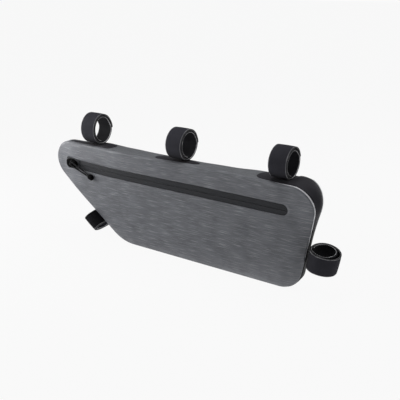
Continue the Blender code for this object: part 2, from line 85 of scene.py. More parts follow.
def spaced(start: float, length: float, step: float) -> list[float]:
    """Gives equal steps of at most one step length, without the end.

    Args:
        start: the first value.
        length: how far the values run.
        step: the largest step allowed.

    Returns:
        The values from start on, without start + length.
    """
    count = max(1, math.ceil(length / step))
    return [start + length * index / count for index in range(count)]


def ripple(x: float, y: float, z: float, scale: float) -> float:
    """Smooth seeded noise from about -1 to 1 at a place, with waves about 1 / scale long."""
    return noise.noise(Vector((x * scale, y * scale, z * scale)))


@dataclass(frozen=True)
class Fillet:
    """A rounded corner of the outline."""

    arrive: Vector
    leave: Vector
    centre: Vector
    radius: float
    turn: float
    start_normal: Vector


@dataclass
class BagOutline:
    """The bag's outline seen from the front, walked clockwise from the top edge's nose end."""

    height: float = 0.1170
    bottom_run: float = 0.2364
    slant_angle: float = math.radians(38.1)
    seat_lean: float = math.radians(9.8)
    nose_radius: float = 0.0240
    seat_corner_radius: float = 0.0240
    rear_foot_radius: float = 0.0250
    front_foot_radius: float = 0.0500
    edges: list[tuple[float, float, Vector, Vector]] = field(default_factory=list)
    arcs: list[tuple[float, float, Fillet]] = field(default_factory=list)
    length: float = 0.0

    def __post_init__(self) -> None:
        """Works out the four edges and the four arcs that join them."""
        nose_reach = self.height / math.tan(self.slant_angle)
        seat_reach = self.height * math.tan(self.seat_lean)
        front_foot = Vector((-self.bottom_run / 2, 0.0))
        rear_foot = Vector((self.bottom_run / 2, 0.0))
        nose = Vector((front_foot.x - nose_reach, self.height))
        seat_top = Vector((rear_foot.x + seat_reach, self.height))
        self.corners = (nose, seat_top, rear_foot, front_foot)
        radii = (
            self.nose_radius,
            self.seat_corner_radius,
            self.rear_foot_radius,
            self.front_foot_radius,
        )
        fillets = [self._fillet(index, radius) for index, radius in enumerate(radii)]
        for index, fillet in enumerate(fillets):
            following = fillets[(index + 1) % 4]
            edge = following.arrive - fillet.leave
            self.edges.append((self.length, edge.length, fillet.leave, edge.normalized()))
            self.length += edge.length
            arc_length = following.radius * following.turn
            self.arcs.append((self.length, arc_length, following))
            self.length += arc_length

    def _fillet(self, index: int, radius: float) -> Fillet:
        """Rounds one corner.

        Args:
            index: which corner.
            radius: the arc's radius.

        Returns:
            The arc with its two ends, its centre and how far it turns.
        """
        corner = self.corners[index]
        arriving = (corner - self.corners[index - 1]).normalized()
        leaving = (self.corners[(index + 1) % 4] - corner).normalized()
        turn = math.acos(arriving.dot(leaving))
        setback = radius * math.tan(turn / 2)
        start = corner - arriving * setback
        inward = Vector((arriving.y, -arriving.x))
        return Fillet(
            start, corner + leaving * setback, start + inward * radius, radius, turn, -inward
        )

    def at(self, walked: float) -> tuple[Vector, Vector]:
        """Gives the outline's point and outward normal, in X and Z.

        Args:
            walked: the distance along the outline, of any lap.

        Returns:
            The point and the unit normal.
        """
        walked %= self.length
        for start, length, origin, direction in self.edges:
            if start <= walked < start + length:
                return origin + direction * (walked - start), Vector((-direction.y, direction.x))
        for start, length, fillet in self.arcs:
            if start <= walked < start + length:
                angle = (start - walked) / fillet.radius
                normal = Matrix.Rotation(angle, 2) @ fillet.start_normal
                return fillet.centre + normal * fillet.radius, normal
        return self.edges[0][2], Vector((0.0, 1.0))

    def stations(self, step: float) -> list[float]:
        """Gives the distances round the whole outline, with every joint, at most a step apart."""
        marks = []
        for begin, length, _origin, _direction in self.edges:
            marks += spaced(begin, length, step)
        for begin, length, _fillet in self.arcs:
            marks += spaced(begin, length, step)
        return sorted(marks)

    def walk_to_top(self, x: float) -> float:
        """Gives the distance along the outline of the point at x on the top edge."""
        start, _length, origin, _direction = self.edges[0]
        return start + x - origin.x


@dataclass(frozen=True)
class Section:
    """Depth of the two panels as shares of the half depth, at one place along the length."""

    place: float
    top_front: float
    mid_front: float
    low_front: float
    top_rear: float
    mid_rear: float
    low_rear: float


@dataclass
class BagShape:
    """The bag's form: its outline, and how deep each panel lies at each place."""

    outline: BagOutline = field(default_factory=BagOutline)
    half_depth: float = 0.0190
    panel_swell: float = 0.0030
    rim_radius: float = 0.0020
    seam_slot: float = 0.0016
    low_swell_level: float = 0.34
    top_swell_level: float = 0.95
    swell_change_from: float = 0.25
    swell_change_over: float = 0.5
    cell: float = 0.0030
    sections: tuple[Section, ...] = (
        Section(0.00, 0.50, 0.50, 0.50, 0.10, 0.20, 0.30),
        Section(0.10, 0.66, 0.60, 0.58, 0.16, 0.40, 0.48),
        Section(0.20, 0.74, 0.58, 0.56, 0.68, 0.60, 0.56),
        Section(0.31, 0.86, 0.57, 0.56, 0.50, 0.58, 0.56),
        Section(0.42, 0.82, 0.56, 0.56, 0.40, 0.56, 0.56),
        Section(0.58, 0.62, 0.56, 0.56, 0.37, 0.54, 0.56),
        Section(0.70, 0.60, 0.56, 0.56, 0.50, 0.54, 0.56),
        Section(0.80, 0.66, 0.56, 0.56, 0.80, 0.54, 0.56),
        Section(0.90, 0.82, 0.56, 0.56, 1.00, 0.46, 0.54),
        Section(1.00, 1.00, 0.58, 0.56, 1.00, 0.00, 0.12),
    )

    def __post_init__(self) -> None:
        """Finds the outline's reach and solves the membrane that gives the swell."""
        points = [self.outline.at(mark) for mark in self.outline.stations(self.cell)]
        self.rim_points = np.array([point for point, _normal in points])
        self.rim_normals = np.array([normal for _point, normal in points])
        self.nose_x = float(self.rim_points[:, 0].min())
        self.seat_x = float(self.rim_points[:, 0].max())
        self.membrane = self._solve_membrane()

    def inside(self, x: np.ndarray, z: np.ndarray) -> np.ndarray:
        """How far points lie inside the outline, which is convex.

        Args:
            x: the points' X.
            z: the points' Z.

        Returns:
            The distance to the nearest side, negative outside.
        """
        spots = np.stack([x, z], axis=-1)[..., None, :] - self.rim_points
        return -(spots * self.rim_normals).sum(-1).max(-1)

    def _solve_membrane(self) -> np.ndarray:
        """Relaxes an evenly loaded membrane held along the outline, on a grid, to a height of 1."""
        columns = int((self.seat_x - self.nose_x) / self.cell) + 3
        rows = int(self.outline.height / self.cell) + 3
        x = self.nose_x + (np.arange(columns) - 1) * self.cell
        z = (np.arange(rows) - 1) * self.cell
        grid_x, grid_z = np.meshgrid(x, z, indexing="ij")
        held = self.inside(grid_x, grid_z) <= self.rim_radius
        height = np.zeros((columns, rows))
        passes = 3000
        for _ in range(passes):
            around = (
                np.roll(height, 1, 0)
                + np.roll(height, -1, 0)
                + np.roll(height, 1, 1)
                + np.roll(height, -1, 1)
            )
            height = (around + 1.0) / 4
            height[held] = 0.0
        return height / height.max()

    def swell(self, x: float, z: float) -> float:
        """How far a panel's face bulges at a place."""
        across = (x - self.nose_x) / self.cell + 1
        up = z / self.cell + 1
        column = min(max(int(across), 0), self.membrane.shape[0] - 2)
        row = min(max(int(up), 0), self.membrane.shape[1] - 2)
        part_x = across - column
        part_z = up - row
        near = self.membrane[column, row] * (1 - part_z) + self.membrane[column, row + 1] * part_z
        far = (
            self.membrane[column + 1, row] * (1 - part_z)
            + self.membrane[column + 1, row + 1] * part_z
        )
        level = near * (1 - part_x) + far * part_x
        height_share = z / self.outline.height
        rise = smooth((height_share - self.swell_change_from) / self.swell_change_over)
        full = self.low_swell_level + (self.top_swell_level - self.low_swell_level) * rise
        reach = min(max(level, 0.0) / full, 1.0)
        return self.panel_swell * (1 - (1 - reach) ** 2)

    def _share(self, place: float, column: str) -> float:
        """One column of the sections at a place, eased from row to row."""
        for before, after in zip(self.sections, self.sections[1:]):
            if place <= after.place:
                share = smooth((place - before.place) / (after.place - before.place))
                return getattr(before, column) * (1 - share) + getattr(after, column) * share
        return getattr(self.sections[-1], column)

    def edge_depth(self, x: float, z: float, side: Side) -> float:
        """Distance of a panel's edge from the middle plane.

        Args:
            x: the place along the bag.
            z: the height.
            side: which panel.

        Returns:
            The distance, always towards the panel's own side.
        """
        place = min(max((x - self.nose_x) / (self.seat_x - self.nose_x), 0.0), 1.0)
        rise = min(max(z / self.outline.height, 0.0), 1.0)
        name = side.name.lower()
        low = self._share(place, "low_" + name)
        middle = self._share(place, "mid_" + name)
        top = self._share(place, "top_" + name)
        if rise < 0.5:
            share = low + (middle - low) * smooth(rise * 2)
        else:
            share = middle + (top - middle) * (rise * 2 - 1) ** 2
        return self.half_depth * share

    def face_depth(self, x: float, z: float, side: Side) -> float:
        """Distance of a panel's outer face from the middle plane, with its swell."""
        return self.edge_depth(x, z, side) + self.swell(x, z)

    def seam_depth(self, x: float, z: float, side: Side) -> float:
        """Distance of a seam's middle from the middle plane."""
        return self.edge_depth(x, z, side) - self.rim_radius - self.seam_slot / 2

    def gusset_bounds(self, point: Vector) -> tuple[float, float]:
        """Y of the gusset's front and rear edges at a point of the outline."""
        front = -self.seam_depth(point.x, point.y, Side.FRONT) + self.seam_slot / 2
        rear = self.seam_depth(point.x, point.y, Side.REAR) - self.seam_slot / 2
        return front, rear


class Meshes:
    """Ways of making this bag's pieces: sheets of cloth, swept bands and small mouldings."""

    @staticmethod
    def object_from(name: str, work: bmesh.types.BMesh) -> bpy.types.Object:
        """Turns a bmesh into a smooth-shaded object of the scene and frees it."""
        work.normal_update()
        mesh = bpy.data.meshes.new(name)
        work.to_mesh(mesh)
        work.free()
        for polygon in mesh.polygons:
            polygon.use_smooth = True
        item = bpy.data.objects.new(name, mesh)
        bpy.context.scene.collection.objects.link(item)
        return item

    @staticmethod
    def sheet_layers(work: bmesh.types.BMesh) -> tuple[bmesh.types.BMLayerItem, ...]:
        """Adds the layers for the cloth's own coordinates, the edge mask and the hook mask, which
        also carries painted shade.
        """
        masks = work.verts.layers.float
        return work.loops.layers.uv.new(CLOTH_MAP), masks.new(EDGE_MASK), masks.new(HOOK_AND_SHADE_MASK)

    @staticmethod
    def set_map(
        work: bmesh.types.BMesh,
        layer: bmesh.types.BMLayerItem,
        flat: dict[bmesh.types.BMVert, Point],
    ) -> None:
        """Writes each vertex's flat place, in metres, to the cloth map."""
        for face in work.faces:
            for loop in face.loops:
                loop[layer].uv = flat[loop.vert]

    @staticmethod
    def fill(
        boundary: Sequence[Point],
        spacing: float,
        hole: Sequence[Point] = (),
        extra: Sequence[Point] = (),
    ) -> tuple[list[Point], list[list[int]], list[list[int]]]:
        """Fills a flat outline with even triangles.

        Args:
            boundary: the outline, which is closed.
            spacing: the distance between the points inside.
            hole: a second outline that is left out.
            extra: more points inside, which the even ones keep clear of.

        Returns:
            The points, the triangles, and for each point the input points that it stands for.
            The boundary's points come first in the input, then the hole's.
        """
        outer = np.array(boundary)
        loops = [outer] + ([np.array(hole)] if len(hole) else [])
        low = outer.min(0)
        high = outer.max(0)
        row_height = spacing * math.sqrt(3) / 2
        clearance = spacing * 0.6
        seeds = []
        for row in range(1, int((high[1] - low[1]) / row_height) + 1):
            shift = spacing / 2 if row % 2 else 0.0
            for column in range(int((high[0] - low[0]) / spacing) + 1):
                seeds.append((low[0] + shift + column * spacing, low[1] + row * row_height))
        seeds = np.array(seeds) if seeds else np.zeros((0, 2))
        kept = Meshes.within(seeds, outer)
        if len(hole):
            kept &= ~Meshes.within(seeds, loops[1])
        fixed = loops + ([np.array(extra)] if len(extra) else [])
        for group in fixed:
            gap = np.linalg.norm(seeds[:, None] - group[None], axis=-1).min(-1)
            kept &= gap > clearance
        seeds = seeds[kept]
        points = np.concatenate([*fixed, seeds])
        edges = []
        first = 0
        for loop in loops:
            edges += [(first + i, first + (i + 1) % len(loop)) for i in range(len(loop))]
            first += len(loop)
        made = delaunay_2d_cdt([Vector(p) for p in points], edges, [], 0, 1e-7)
        flat = np.array([tuple(p) for p in made[0]])
        triangles = np.array(made[2])
        middles = flat[triangles].mean(1)
        inside = Meshes.within(middles, outer)
        if len(hole):
            inside &= ~Meshes.within(middles, loops[1])
        return (
            [tuple(p) for p in flat],
            [list(t) for t in triangles[inside]],
            [list(origin) for origin in made[3]],
        )

    @staticmethod
    def within(points: np.ndarray, loop: np.ndarray) -> np.ndarray:
        """Tells which points lie inside a closed loop."""
        found = np.zeros(len(points), bool)
        for start, end in zip(loop, np.roll(loop, -1, 0)):
            if start[1] == end[1]:
                continue
            crosses = (start[1] > points[:, 1]) != (end[1] > points[:, 1])
            share = (points[:, 1] - start[1]) / (end[1] - start[1])
            found ^= crosses & (points[:, 0] < start[0] + share * (end[0] - start[0]))
        return found

    @staticmethod
    def patch(
        name: str,
        boundary: Sequence[Point],
        spacing: float,
        place: Place,
        hook: Callable[[float, float], float] | None = None,
    ) -> bpy.types.Object:
        """Makes a sheet of cloth from its flat outline.

        Args:
            name: the piece's name.
            boundary: the flat outline.
            spacing: the distance between the sheet's points.
            place: gives the point in space of a point of the flat sheet.
            hook: gives the hook mask of a point of the flat sheet, which on a patch is painted
                shade.

        Returns:
            The sheet, one surface without thickness.
        """
        work = bmesh.new()
        layer, mask, hook_and_shade_masks = Meshes.sheet_layers(work)
        points, triangles, origins = Meshes.fill(boundary, spacing)
        flat = {}
        verts = []
        for point, origin in zip(points, origins):
            vertex = work.verts.new(place(*point))
            vertex[mask] = 1.0 if any(index < len(boundary) for index in origin) else 0.0
            vertex[hook_and_shade_masks] = hook(*point) if hook else 0.0
            flat[vertex] = point
            verts.append(vertex)
        for triangle in triangles:
            work.faces.new([verts[index] for index in triangle])
        Meshes.set_map(work, layer, flat)
        return Meshes.object_from(name, work)

    @staticmethod
    def face_along(item: bpy.types.Object, direction: Callable[[Vector], Vector]) -> None:
        """Turns a sheet's faces to look along the direction that is given at its points."""
        work = bmesh.new()
        work.from_mesh(item.data)
        bmesh.ops.recalc_face_normals(work, faces=work.faces[:])
        looking = sum(
            face.normal.dot(direction(face.calc_center_median())) * face.calc_area()
            for face in work.faces
        )
        if looking < 0:
            bmesh.ops.reverse_faces(work, faces=work.faces[:])
        work.to_mesh(item.data)
        work.free()

    @staticmethod
    def thicken(item: bpy.types.Object, wall: float) -> None:
        """Gives a sheet its wall, inward from its outer face."""
        shell = item.modifiers.new("wall", "SOLIDIFY")
        shell.thickness = wall
        shell.offset = -1
        shell.use_even_offset = True

    @staticmethod
    def moulding(
        name: str, outline: Sequence[Point], levels: Sequence[tuple[float, float]], place: Place
    ) -> bpy.types.Object:
        """Makes a small moulded form by stacking shrunken copies of one outline.

        Args:
            name: the piece's name.
            outline: the outline about its own middle.
            levels: the height and the scale of each copy, from the base up.
            place: gives the base plane's point in space, at height 0, of a point of the outline.

        Returns:
            The closed form. Heights are measured towards -Y.
        """
        work = bmesh.new()
        layer, _mask, _hook_and_shade_masks = Meshes.sheet_layers(work)
        flat = {}
        rings = []
        for height, scale in levels:
            ring = []
            for across, up in outline:
                vertex = work.verts.new(place(across * scale, up * scale))
                vertex.co.y -= height
                flat[vertex] = (across * scale, up * scale)
                ring.append(vertex)
            rings.append(ring)
        for lower, upper in zip(rings, rings[1:]):
            for index in range(len(outline)):
                after = (index + 1) % len(outline)
                work.faces.new((lower[index], lower[after], upper[after], upper[index]))
        work.faces.new(rings[0])
        work.faces.new(rings[-1])
        bmesh.ops.recalc_face_normals(work, faces=work.faces[:])
        Meshes.set_map(work, layer, flat)
        return Meshes.object_from(name, work)

    @staticmethod
    def grid(
        name: str,
        rows: Sequence[Sequence[Vector]],
        across: Sequence[float],
        along: Sequence[float],
        edge: Sequence[Sequence[float]] = (),
        hook: Sequence[Sequence[float]] = (),
        ring: bool = False,
        loop: bool = False,
        caps: bool = False,
    ) -> bpy.types.Object:
        """Joins rows of points by quads.

        Args:
            name: the piece's name.
            rows: the rows, each with as many points.
            across: the flat place of each point of a row, and of its first again in a ring.
            along: the flat place of each row, and of the first again in a loop.
            edge: the edge mask of each point, row by row.
            hook: the hook mask of each point, row by row, which also carries painted shade.
            ring: whether each row closes on itself.
            loop: whether the last row joins the first.
            caps: whether the first and the last row are closed by a face.

        Returns:
            The piece, with its flat places in the cloth map.
        """
        work = bmesh.new()
        layer, mask, hook_and_shade_masks = Meshes.sheet_layers(work)
        made = []
        for number, row in enumerate(rows):
            line = []
            for index, point in enumerate(row):
                vertex = work.verts.new(point)
                vertex[mask] = edge[number][index] if edge else 0.0
                vertex[hook_and_shade_masks] = hook[number][index] if hook else 0.0
                line.append(vertex)
            made.append(line)
        width = len(rows[0])
        for first in range(len(rows) if loop else len(rows) - 1):
            second = (first + 1) % len(rows)
            for left in range(width if ring else width - 1):
                right = (left + 1) % width
                corners = (
                    (first, left, along[first], across[left]),
                    (second, left, along[first + 1], across[left]),
                    (second, right, along[first + 1], across[left + 1]),
                    (first, right, along[first], across[left + 1]),
                )
                face = work.faces.new([made[row][column] for row, column, _u, _v in corners])
                for spot, (_row, _column, u, v) in zip(face.loops, corners):
                    spot[layer].uv = (u, v)
        if caps:
            for line in (made[0], made[-1]):
                face = work.faces.new(line)
                for index, spot in enumerate(face.loops):
                    spot[layer].uv = (0.0, across[index])
        if ring:
            bmesh.ops.recalc_face_normals(work, faces=work.faces[:])
        return Meshes.object_from(name, work)

    @staticmethod
    def cord(
        name: str,
        route: Sequence[Vector],
        radii: Sequence[float],
        sides: int,
        loop: bool = False,
    ) -> bpy.types.Object:
        """Makes a round cord along a route that lies nearly upright, facing Y.

        Args:
            name: the piece's name.
            route: the points of its middle line.
            radii: its radius at each point.
            sides: how many sides it has.
            loop: whether it joins its own start.

        Returns:
            The cord.
        """
        rows = []
        marks = []
        walked = 0.0
        count = len(route)
        for index, point in enumerate(route):
            before = route[index - 1] if index or loop else point
            after = route[(index + 1) % count] if index + 1 < count or loop else point
            travel = (after - before).normalized()
            side = travel.cross(Vector((0, 1, 0)))
            if side.length < 0.1:
                side = travel.cross(Vector((0, 0, 1)))
            side.normalize()
            lift = side.cross(travel)
            if index:
                walked += (point - route[index - 1]).length
            row = []
            for step in range(sides):
                angle = 2 * math.pi * step / sides
                spoke = side * math.cos(angle) + lift * math.sin(angle)
                row.append(point + spoke * radii[index])
            rows.append(row)
            marks.append(walked)
        if loop:
            marks.append(walked + (route[0] - route[-1]).length)
        girth = 2 * math.pi * max(radii)
        around = [girth * step / sides for step in range(sides + 1)]
        return Meshes.grid(name, rows, around, marks, ring=True, loop=loop, caps=not loop)


def stadium(length: float, width: float, steps: int) -> list[Point]:
    """An outline with two half-round ends about the origin, counter-clockwise."""
    radius = width / 2
    half = length / 2 - radius
    points = []
    for middle, begin in ((half, -math.pi / 2), (-half, math.pi / 2)):
        for step in range(steps + 1):
            angle = begin + math.pi * step / steps
            points.append((middle + radius * math.cos(angle), radius * math.sin(angle)))
    return points


def resample(loop: Sequence[Point], step: float) -> list[Point]:
    """Puts more points on the long sides of a closed outline.

    Args:
        loop: the outline.
        step: the longest side allowed.

    Returns:
        The outline with every old point kept.
    """
    points = []
    for index, start in enumerate(loop):
        end = loop[(index + 1) % len(loop)]
        gap = math.dist(start, end)
        if gap < 1e-6:
            continue
        count = max(1, math.ceil(gap / step))
        for part in range(count):
            share = part / count
            points.append(
                (start[0] + (end[0] - start[0]) * share, start[1] + (end[1] - start[1]) * share)
            )
    return points


def squarish(corners: int, roundness: float) -> list[Point]:
    """Gives a closed outline between a circle and a square, from -1 to 1 each way.

    Args:
        corners: how many points it has.
        roundness: 1 for a circle, and less for a squarer form.

    Returns:
        The outline, counter-clockwise about the origin.
    """
    outline = []
    for step in range(corners):
        angle = 2 * math.pi * step / corners
        wide = math.copysign(abs(math.cos(angle)) ** roundness, math.cos(angle))
        tall = math.copysign(abs(math.sin(angle)) ** roundness, math.sin(angle))
        outline.append((wide, tall))
    return outline


@dataclass(frozen=True)
class HeatherFinish:
    """Coated cloth woven from grey yarns of uneven shade."""

    name: str
    dark: Colour
    light: Colour
    streak: Colour
    roughness: float = 0.52
    uneven_gloss: float = 0.06
    gloss: float = 0.35
    coat: float = 0.06
    coat_roughness: float = 0.35
    fine_share: float = 0.45
    streak_share: float = 0.55
    rim_lift: float = 0.26
    threads_across: float = 1500.0
    threads_along: float = 1900.0
    yarn_rise: float = 0.6
    thread_height: float = 0.00012


@dataclass(frozen=True)
class PlainClothFinish:
    """Black cloth or webbing of one shade, with a fine rib and a soft sheen."""

    name: str
    base: Colour
    lifted: Colour
    edge: Colour
    roughness: float
    sheen: float
    ribs_across: float
    ribs_along: float
    rib_height: float
    edge_share: float
    gloss: float = 0.25
    # How dark the base gets under the hook mask: the hook side, and painted shade.
    hook_shade: float = 1.0
    uneven_gloss: float = 0.05


@dataclass(frozen=True)
class MouldedFinish:
    """Moulded plastic, enamel or rubber with a fine grain."""

    name: str
    base: Colour
    roughness: float
    grain: float
    gloss: float
    darkest: float = 0.6


class Nodes:
    """Adds nodes to one node tree. Each way of adding gives the new node's output."""

    def __init__(self, tree: bpy.types.NodeTree) -> None:
        """Takes the tree that the nodes go into."""
        self.tree = tree

    def feed(self, target: Socket, value: Socket | float | Sequence[float]) -> None:
        """Links a socket to an input, or sets the input's own value."""
        if isinstance(value, bpy.types.NodeSocket):
            self.tree.links.new(value, target)
        else:
            target.default_value = value

    def add(self, kind: str, output: str | int, inputs: dict, **settings: str) -> Socket:
        """Adds a node.

        Args:
            kind: the node's type, without the words that every type starts with.
            output: which output is wanted.
            inputs: for each input that isn't left alone, the socket that feeds it or its value.
            settings: the node's own settings.

        Returns:
            The output.
        """
        node = self.tree.nodes.new("ShaderNode" + kind)
        for name, value in settings.items():
            setattr(node, name, value)
        for key, value in inputs.items():
            self.feed(node.inputs[key], value)
        return node.outputs[output]

    def group(self, group: bpy.types.NodeTree, inputs: dict) -> bpy.types.NodeOutputs:
        """Places a shared group and gives all its outputs."""
        node = self.tree.nodes.new("ShaderNodeGroup")
        node.node_tree = group
        for key, value in inputs.items():
            self.feed(node.inputs[key], value)
        return node.outputs

    def noise(
        self, place: Socket, scale: Sequence[float], detail: float, roughness: float = 0.5
    ) -> Socket:
        """Adds a noise over a place that is stretched by its own factor along each axis."""
        stretched = self.add("Mapping", "Vector", {"Vector": place, "Scale": scale})
        inputs = {"Vector": stretched, "Scale": 1.0, "Detail": detail, "Roughness": roughness}
        return self.add("TexNoise", "Fac", inputs)

    def ranged(
        self, value: Socket, low: float, high: float, out_low: float = 0.0, out_high: float = 1.0
    ) -> Socket:
        """Maps a value from one range to another, clamped."""
        inputs = {
            "Value": value,
            "From Min": low,
            "From Max": high,
            "To Min": out_low,
            "To Max": out_high,
        }
        return self.add("MapRange", "Result", inputs)

    def maths(self, operation: str, first: Socket, second: Socket | float) -> Socket:
        """Joins two values by one operation."""
        return self.add("Math", "Value", {0: first, 1: second}, operation=operation)

    def mix(self, share: Socket, first: Socket | Colour, second: Socket | Colour) -> Socket:
        """Mixes two colours by a mask."""
        inputs = {0: share}
        for key, colour in ((6, first), (7, second)):
            inputs[key] = (*colour, 1.0) if isinstance(colour, tuple) else colour
        return self.add("Mix", 2, inputs, data_type="RGBA")

    def bump(self, height: Socket, distance: float) -> Socket:
        """Turns a height into a normal."""
        return self.add("Bump", "Normal", {"Height": height, "Distance": distance, "Strength": 1.0})


class Effects:
    """Shader node groups that several of the bag's materials share."""

    def __init__(self) -> None:
        """Builds each group once."""
        self.heather = self._heather()
        self.weave = self._weave()
        self.wear_and_light = self._wear_and_light()

    @staticmethod
    def _start(name: str, numbers: Sequence[str] = ()) -> tuple[Nodes, bpy.types.NodeOutputs]:
        """Starts a group that takes a place and some numbers.

        Args:
            name: the group's name.
            numbers: the name of each number that it takes.

        Returns:
            The group's nodes, and what the group is given.
        """
        tree = bpy.data.node_groups.new(name, "ShaderNodeTree")
        tree.interface.new_socket("Vector", in_out="INPUT", socket_type="NodeSocketVector")
        for label in numbers:
            tree.interface.new_socket(label, in_out="INPUT", socket_type="NodeSocketFloat")
        return Nodes(tree), tree.nodes.new("NodeGroupInput").outputs

    @staticmethod
    def _end(nodes: Nodes, results: dict[str, Socket]) -> bpy.types.NodeTree:
        """Gives a group its outputs, one for each result."""
        for label in results:
            nodes.tree.interface.new_socket(label, in_out="OUTPUT", socket_type="NodeSocketFloat")
        end = nodes.tree.nodes.new("NodeGroupOutput")
        for label, value in results.items():
            nodes.feed(end.inputs[label], value)
        return nodes.tree

    def _heather(self) -> bpy.types.NodeTree:
        """Uneven yarns: long light dashes, fine dashes and broad soft mottling, all along U."""
        nodes, given = self._start("heather_yarns")
        place = given["Vector"]
        long_dash = nodes.noise(place, (52, 1900, 1), 1.0, 0.45)
        fine_dash = nodes.noise(place, (140, 3000, 1), 2.0, 0.6)
        broad = nodes.noise(place, (34, 900, 1), 3.0, 0.65)
        soft = nodes.noise(place, (44, 60, 1), 3.0, 0.55)
        mixed = nodes.maths("ADD", nodes.maths("MULTIPLY", broad, 0.7), soft)
        results = {
            "Dashes": nodes.ranged(long_dash, 0.57, 0.70),
            "Fine": nodes.ranged(fine_dash, 0.30, 0.72),
            "Mottle": nodes.ranged(mixed, 0.66, 1.04),
        }
        return self._end(nodes, results)

    def _weave(self) -> bpy.types.NodeTree:
        """Raised threads crossing at the given numbers per metre along U and V."""
        nodes, given = self._start("woven_threads", ("Threads U", "Threads V"))
        waves = []
        for axis, label in (("X", "Threads U"), ("Y", "Threads V")):
            place = nodes.add("SeparateXYZ", axis, {"Vector": given["Vector"]})
            turns = nodes.maths("MULTIPLY", place, given[label])
            waves.append(nodes.maths("SINE", nodes.maths("MULTIPLY", turns, 2 * math.pi), 0.0))
        product = nodes.maths("MULTIPLY", waves[0], waves[1])
        both = nodes.maths("ADD", nodes.maths("ADD", product, waves[0]), waves[1])
        return self._end(nodes, {"Height": nodes.ranged(both, -3.0, 3.0)})

    def _wear_and_light(self) -> bpy.types.NodeTree:
        """Places rubbed and dusty, and the panel's painted light near its foot: an uneven mask that
        is strongest where the edge mask is.
        """
        nodes, given = self._start("rubbed_and_lit_edges", ("Edge",))
        patchy = nodes.noise(given["Vector"], (140, 140, 140), 3.0, 0.6)
        cloudy = nodes.noise(given["Vector"], (30, 30, 30), 2.0)
        uneven = nodes.ranged(patchy, 0.30, 0.75, 0.25, 1.0)
        results = {
            "Rubbed_and_lit": nodes.maths("MULTIPLY", uneven, given["Edge"]),
            "Cloudy": nodes.ranged(cloudy, 0.3, 0.7),
        }
        return self._end(nodes, results)


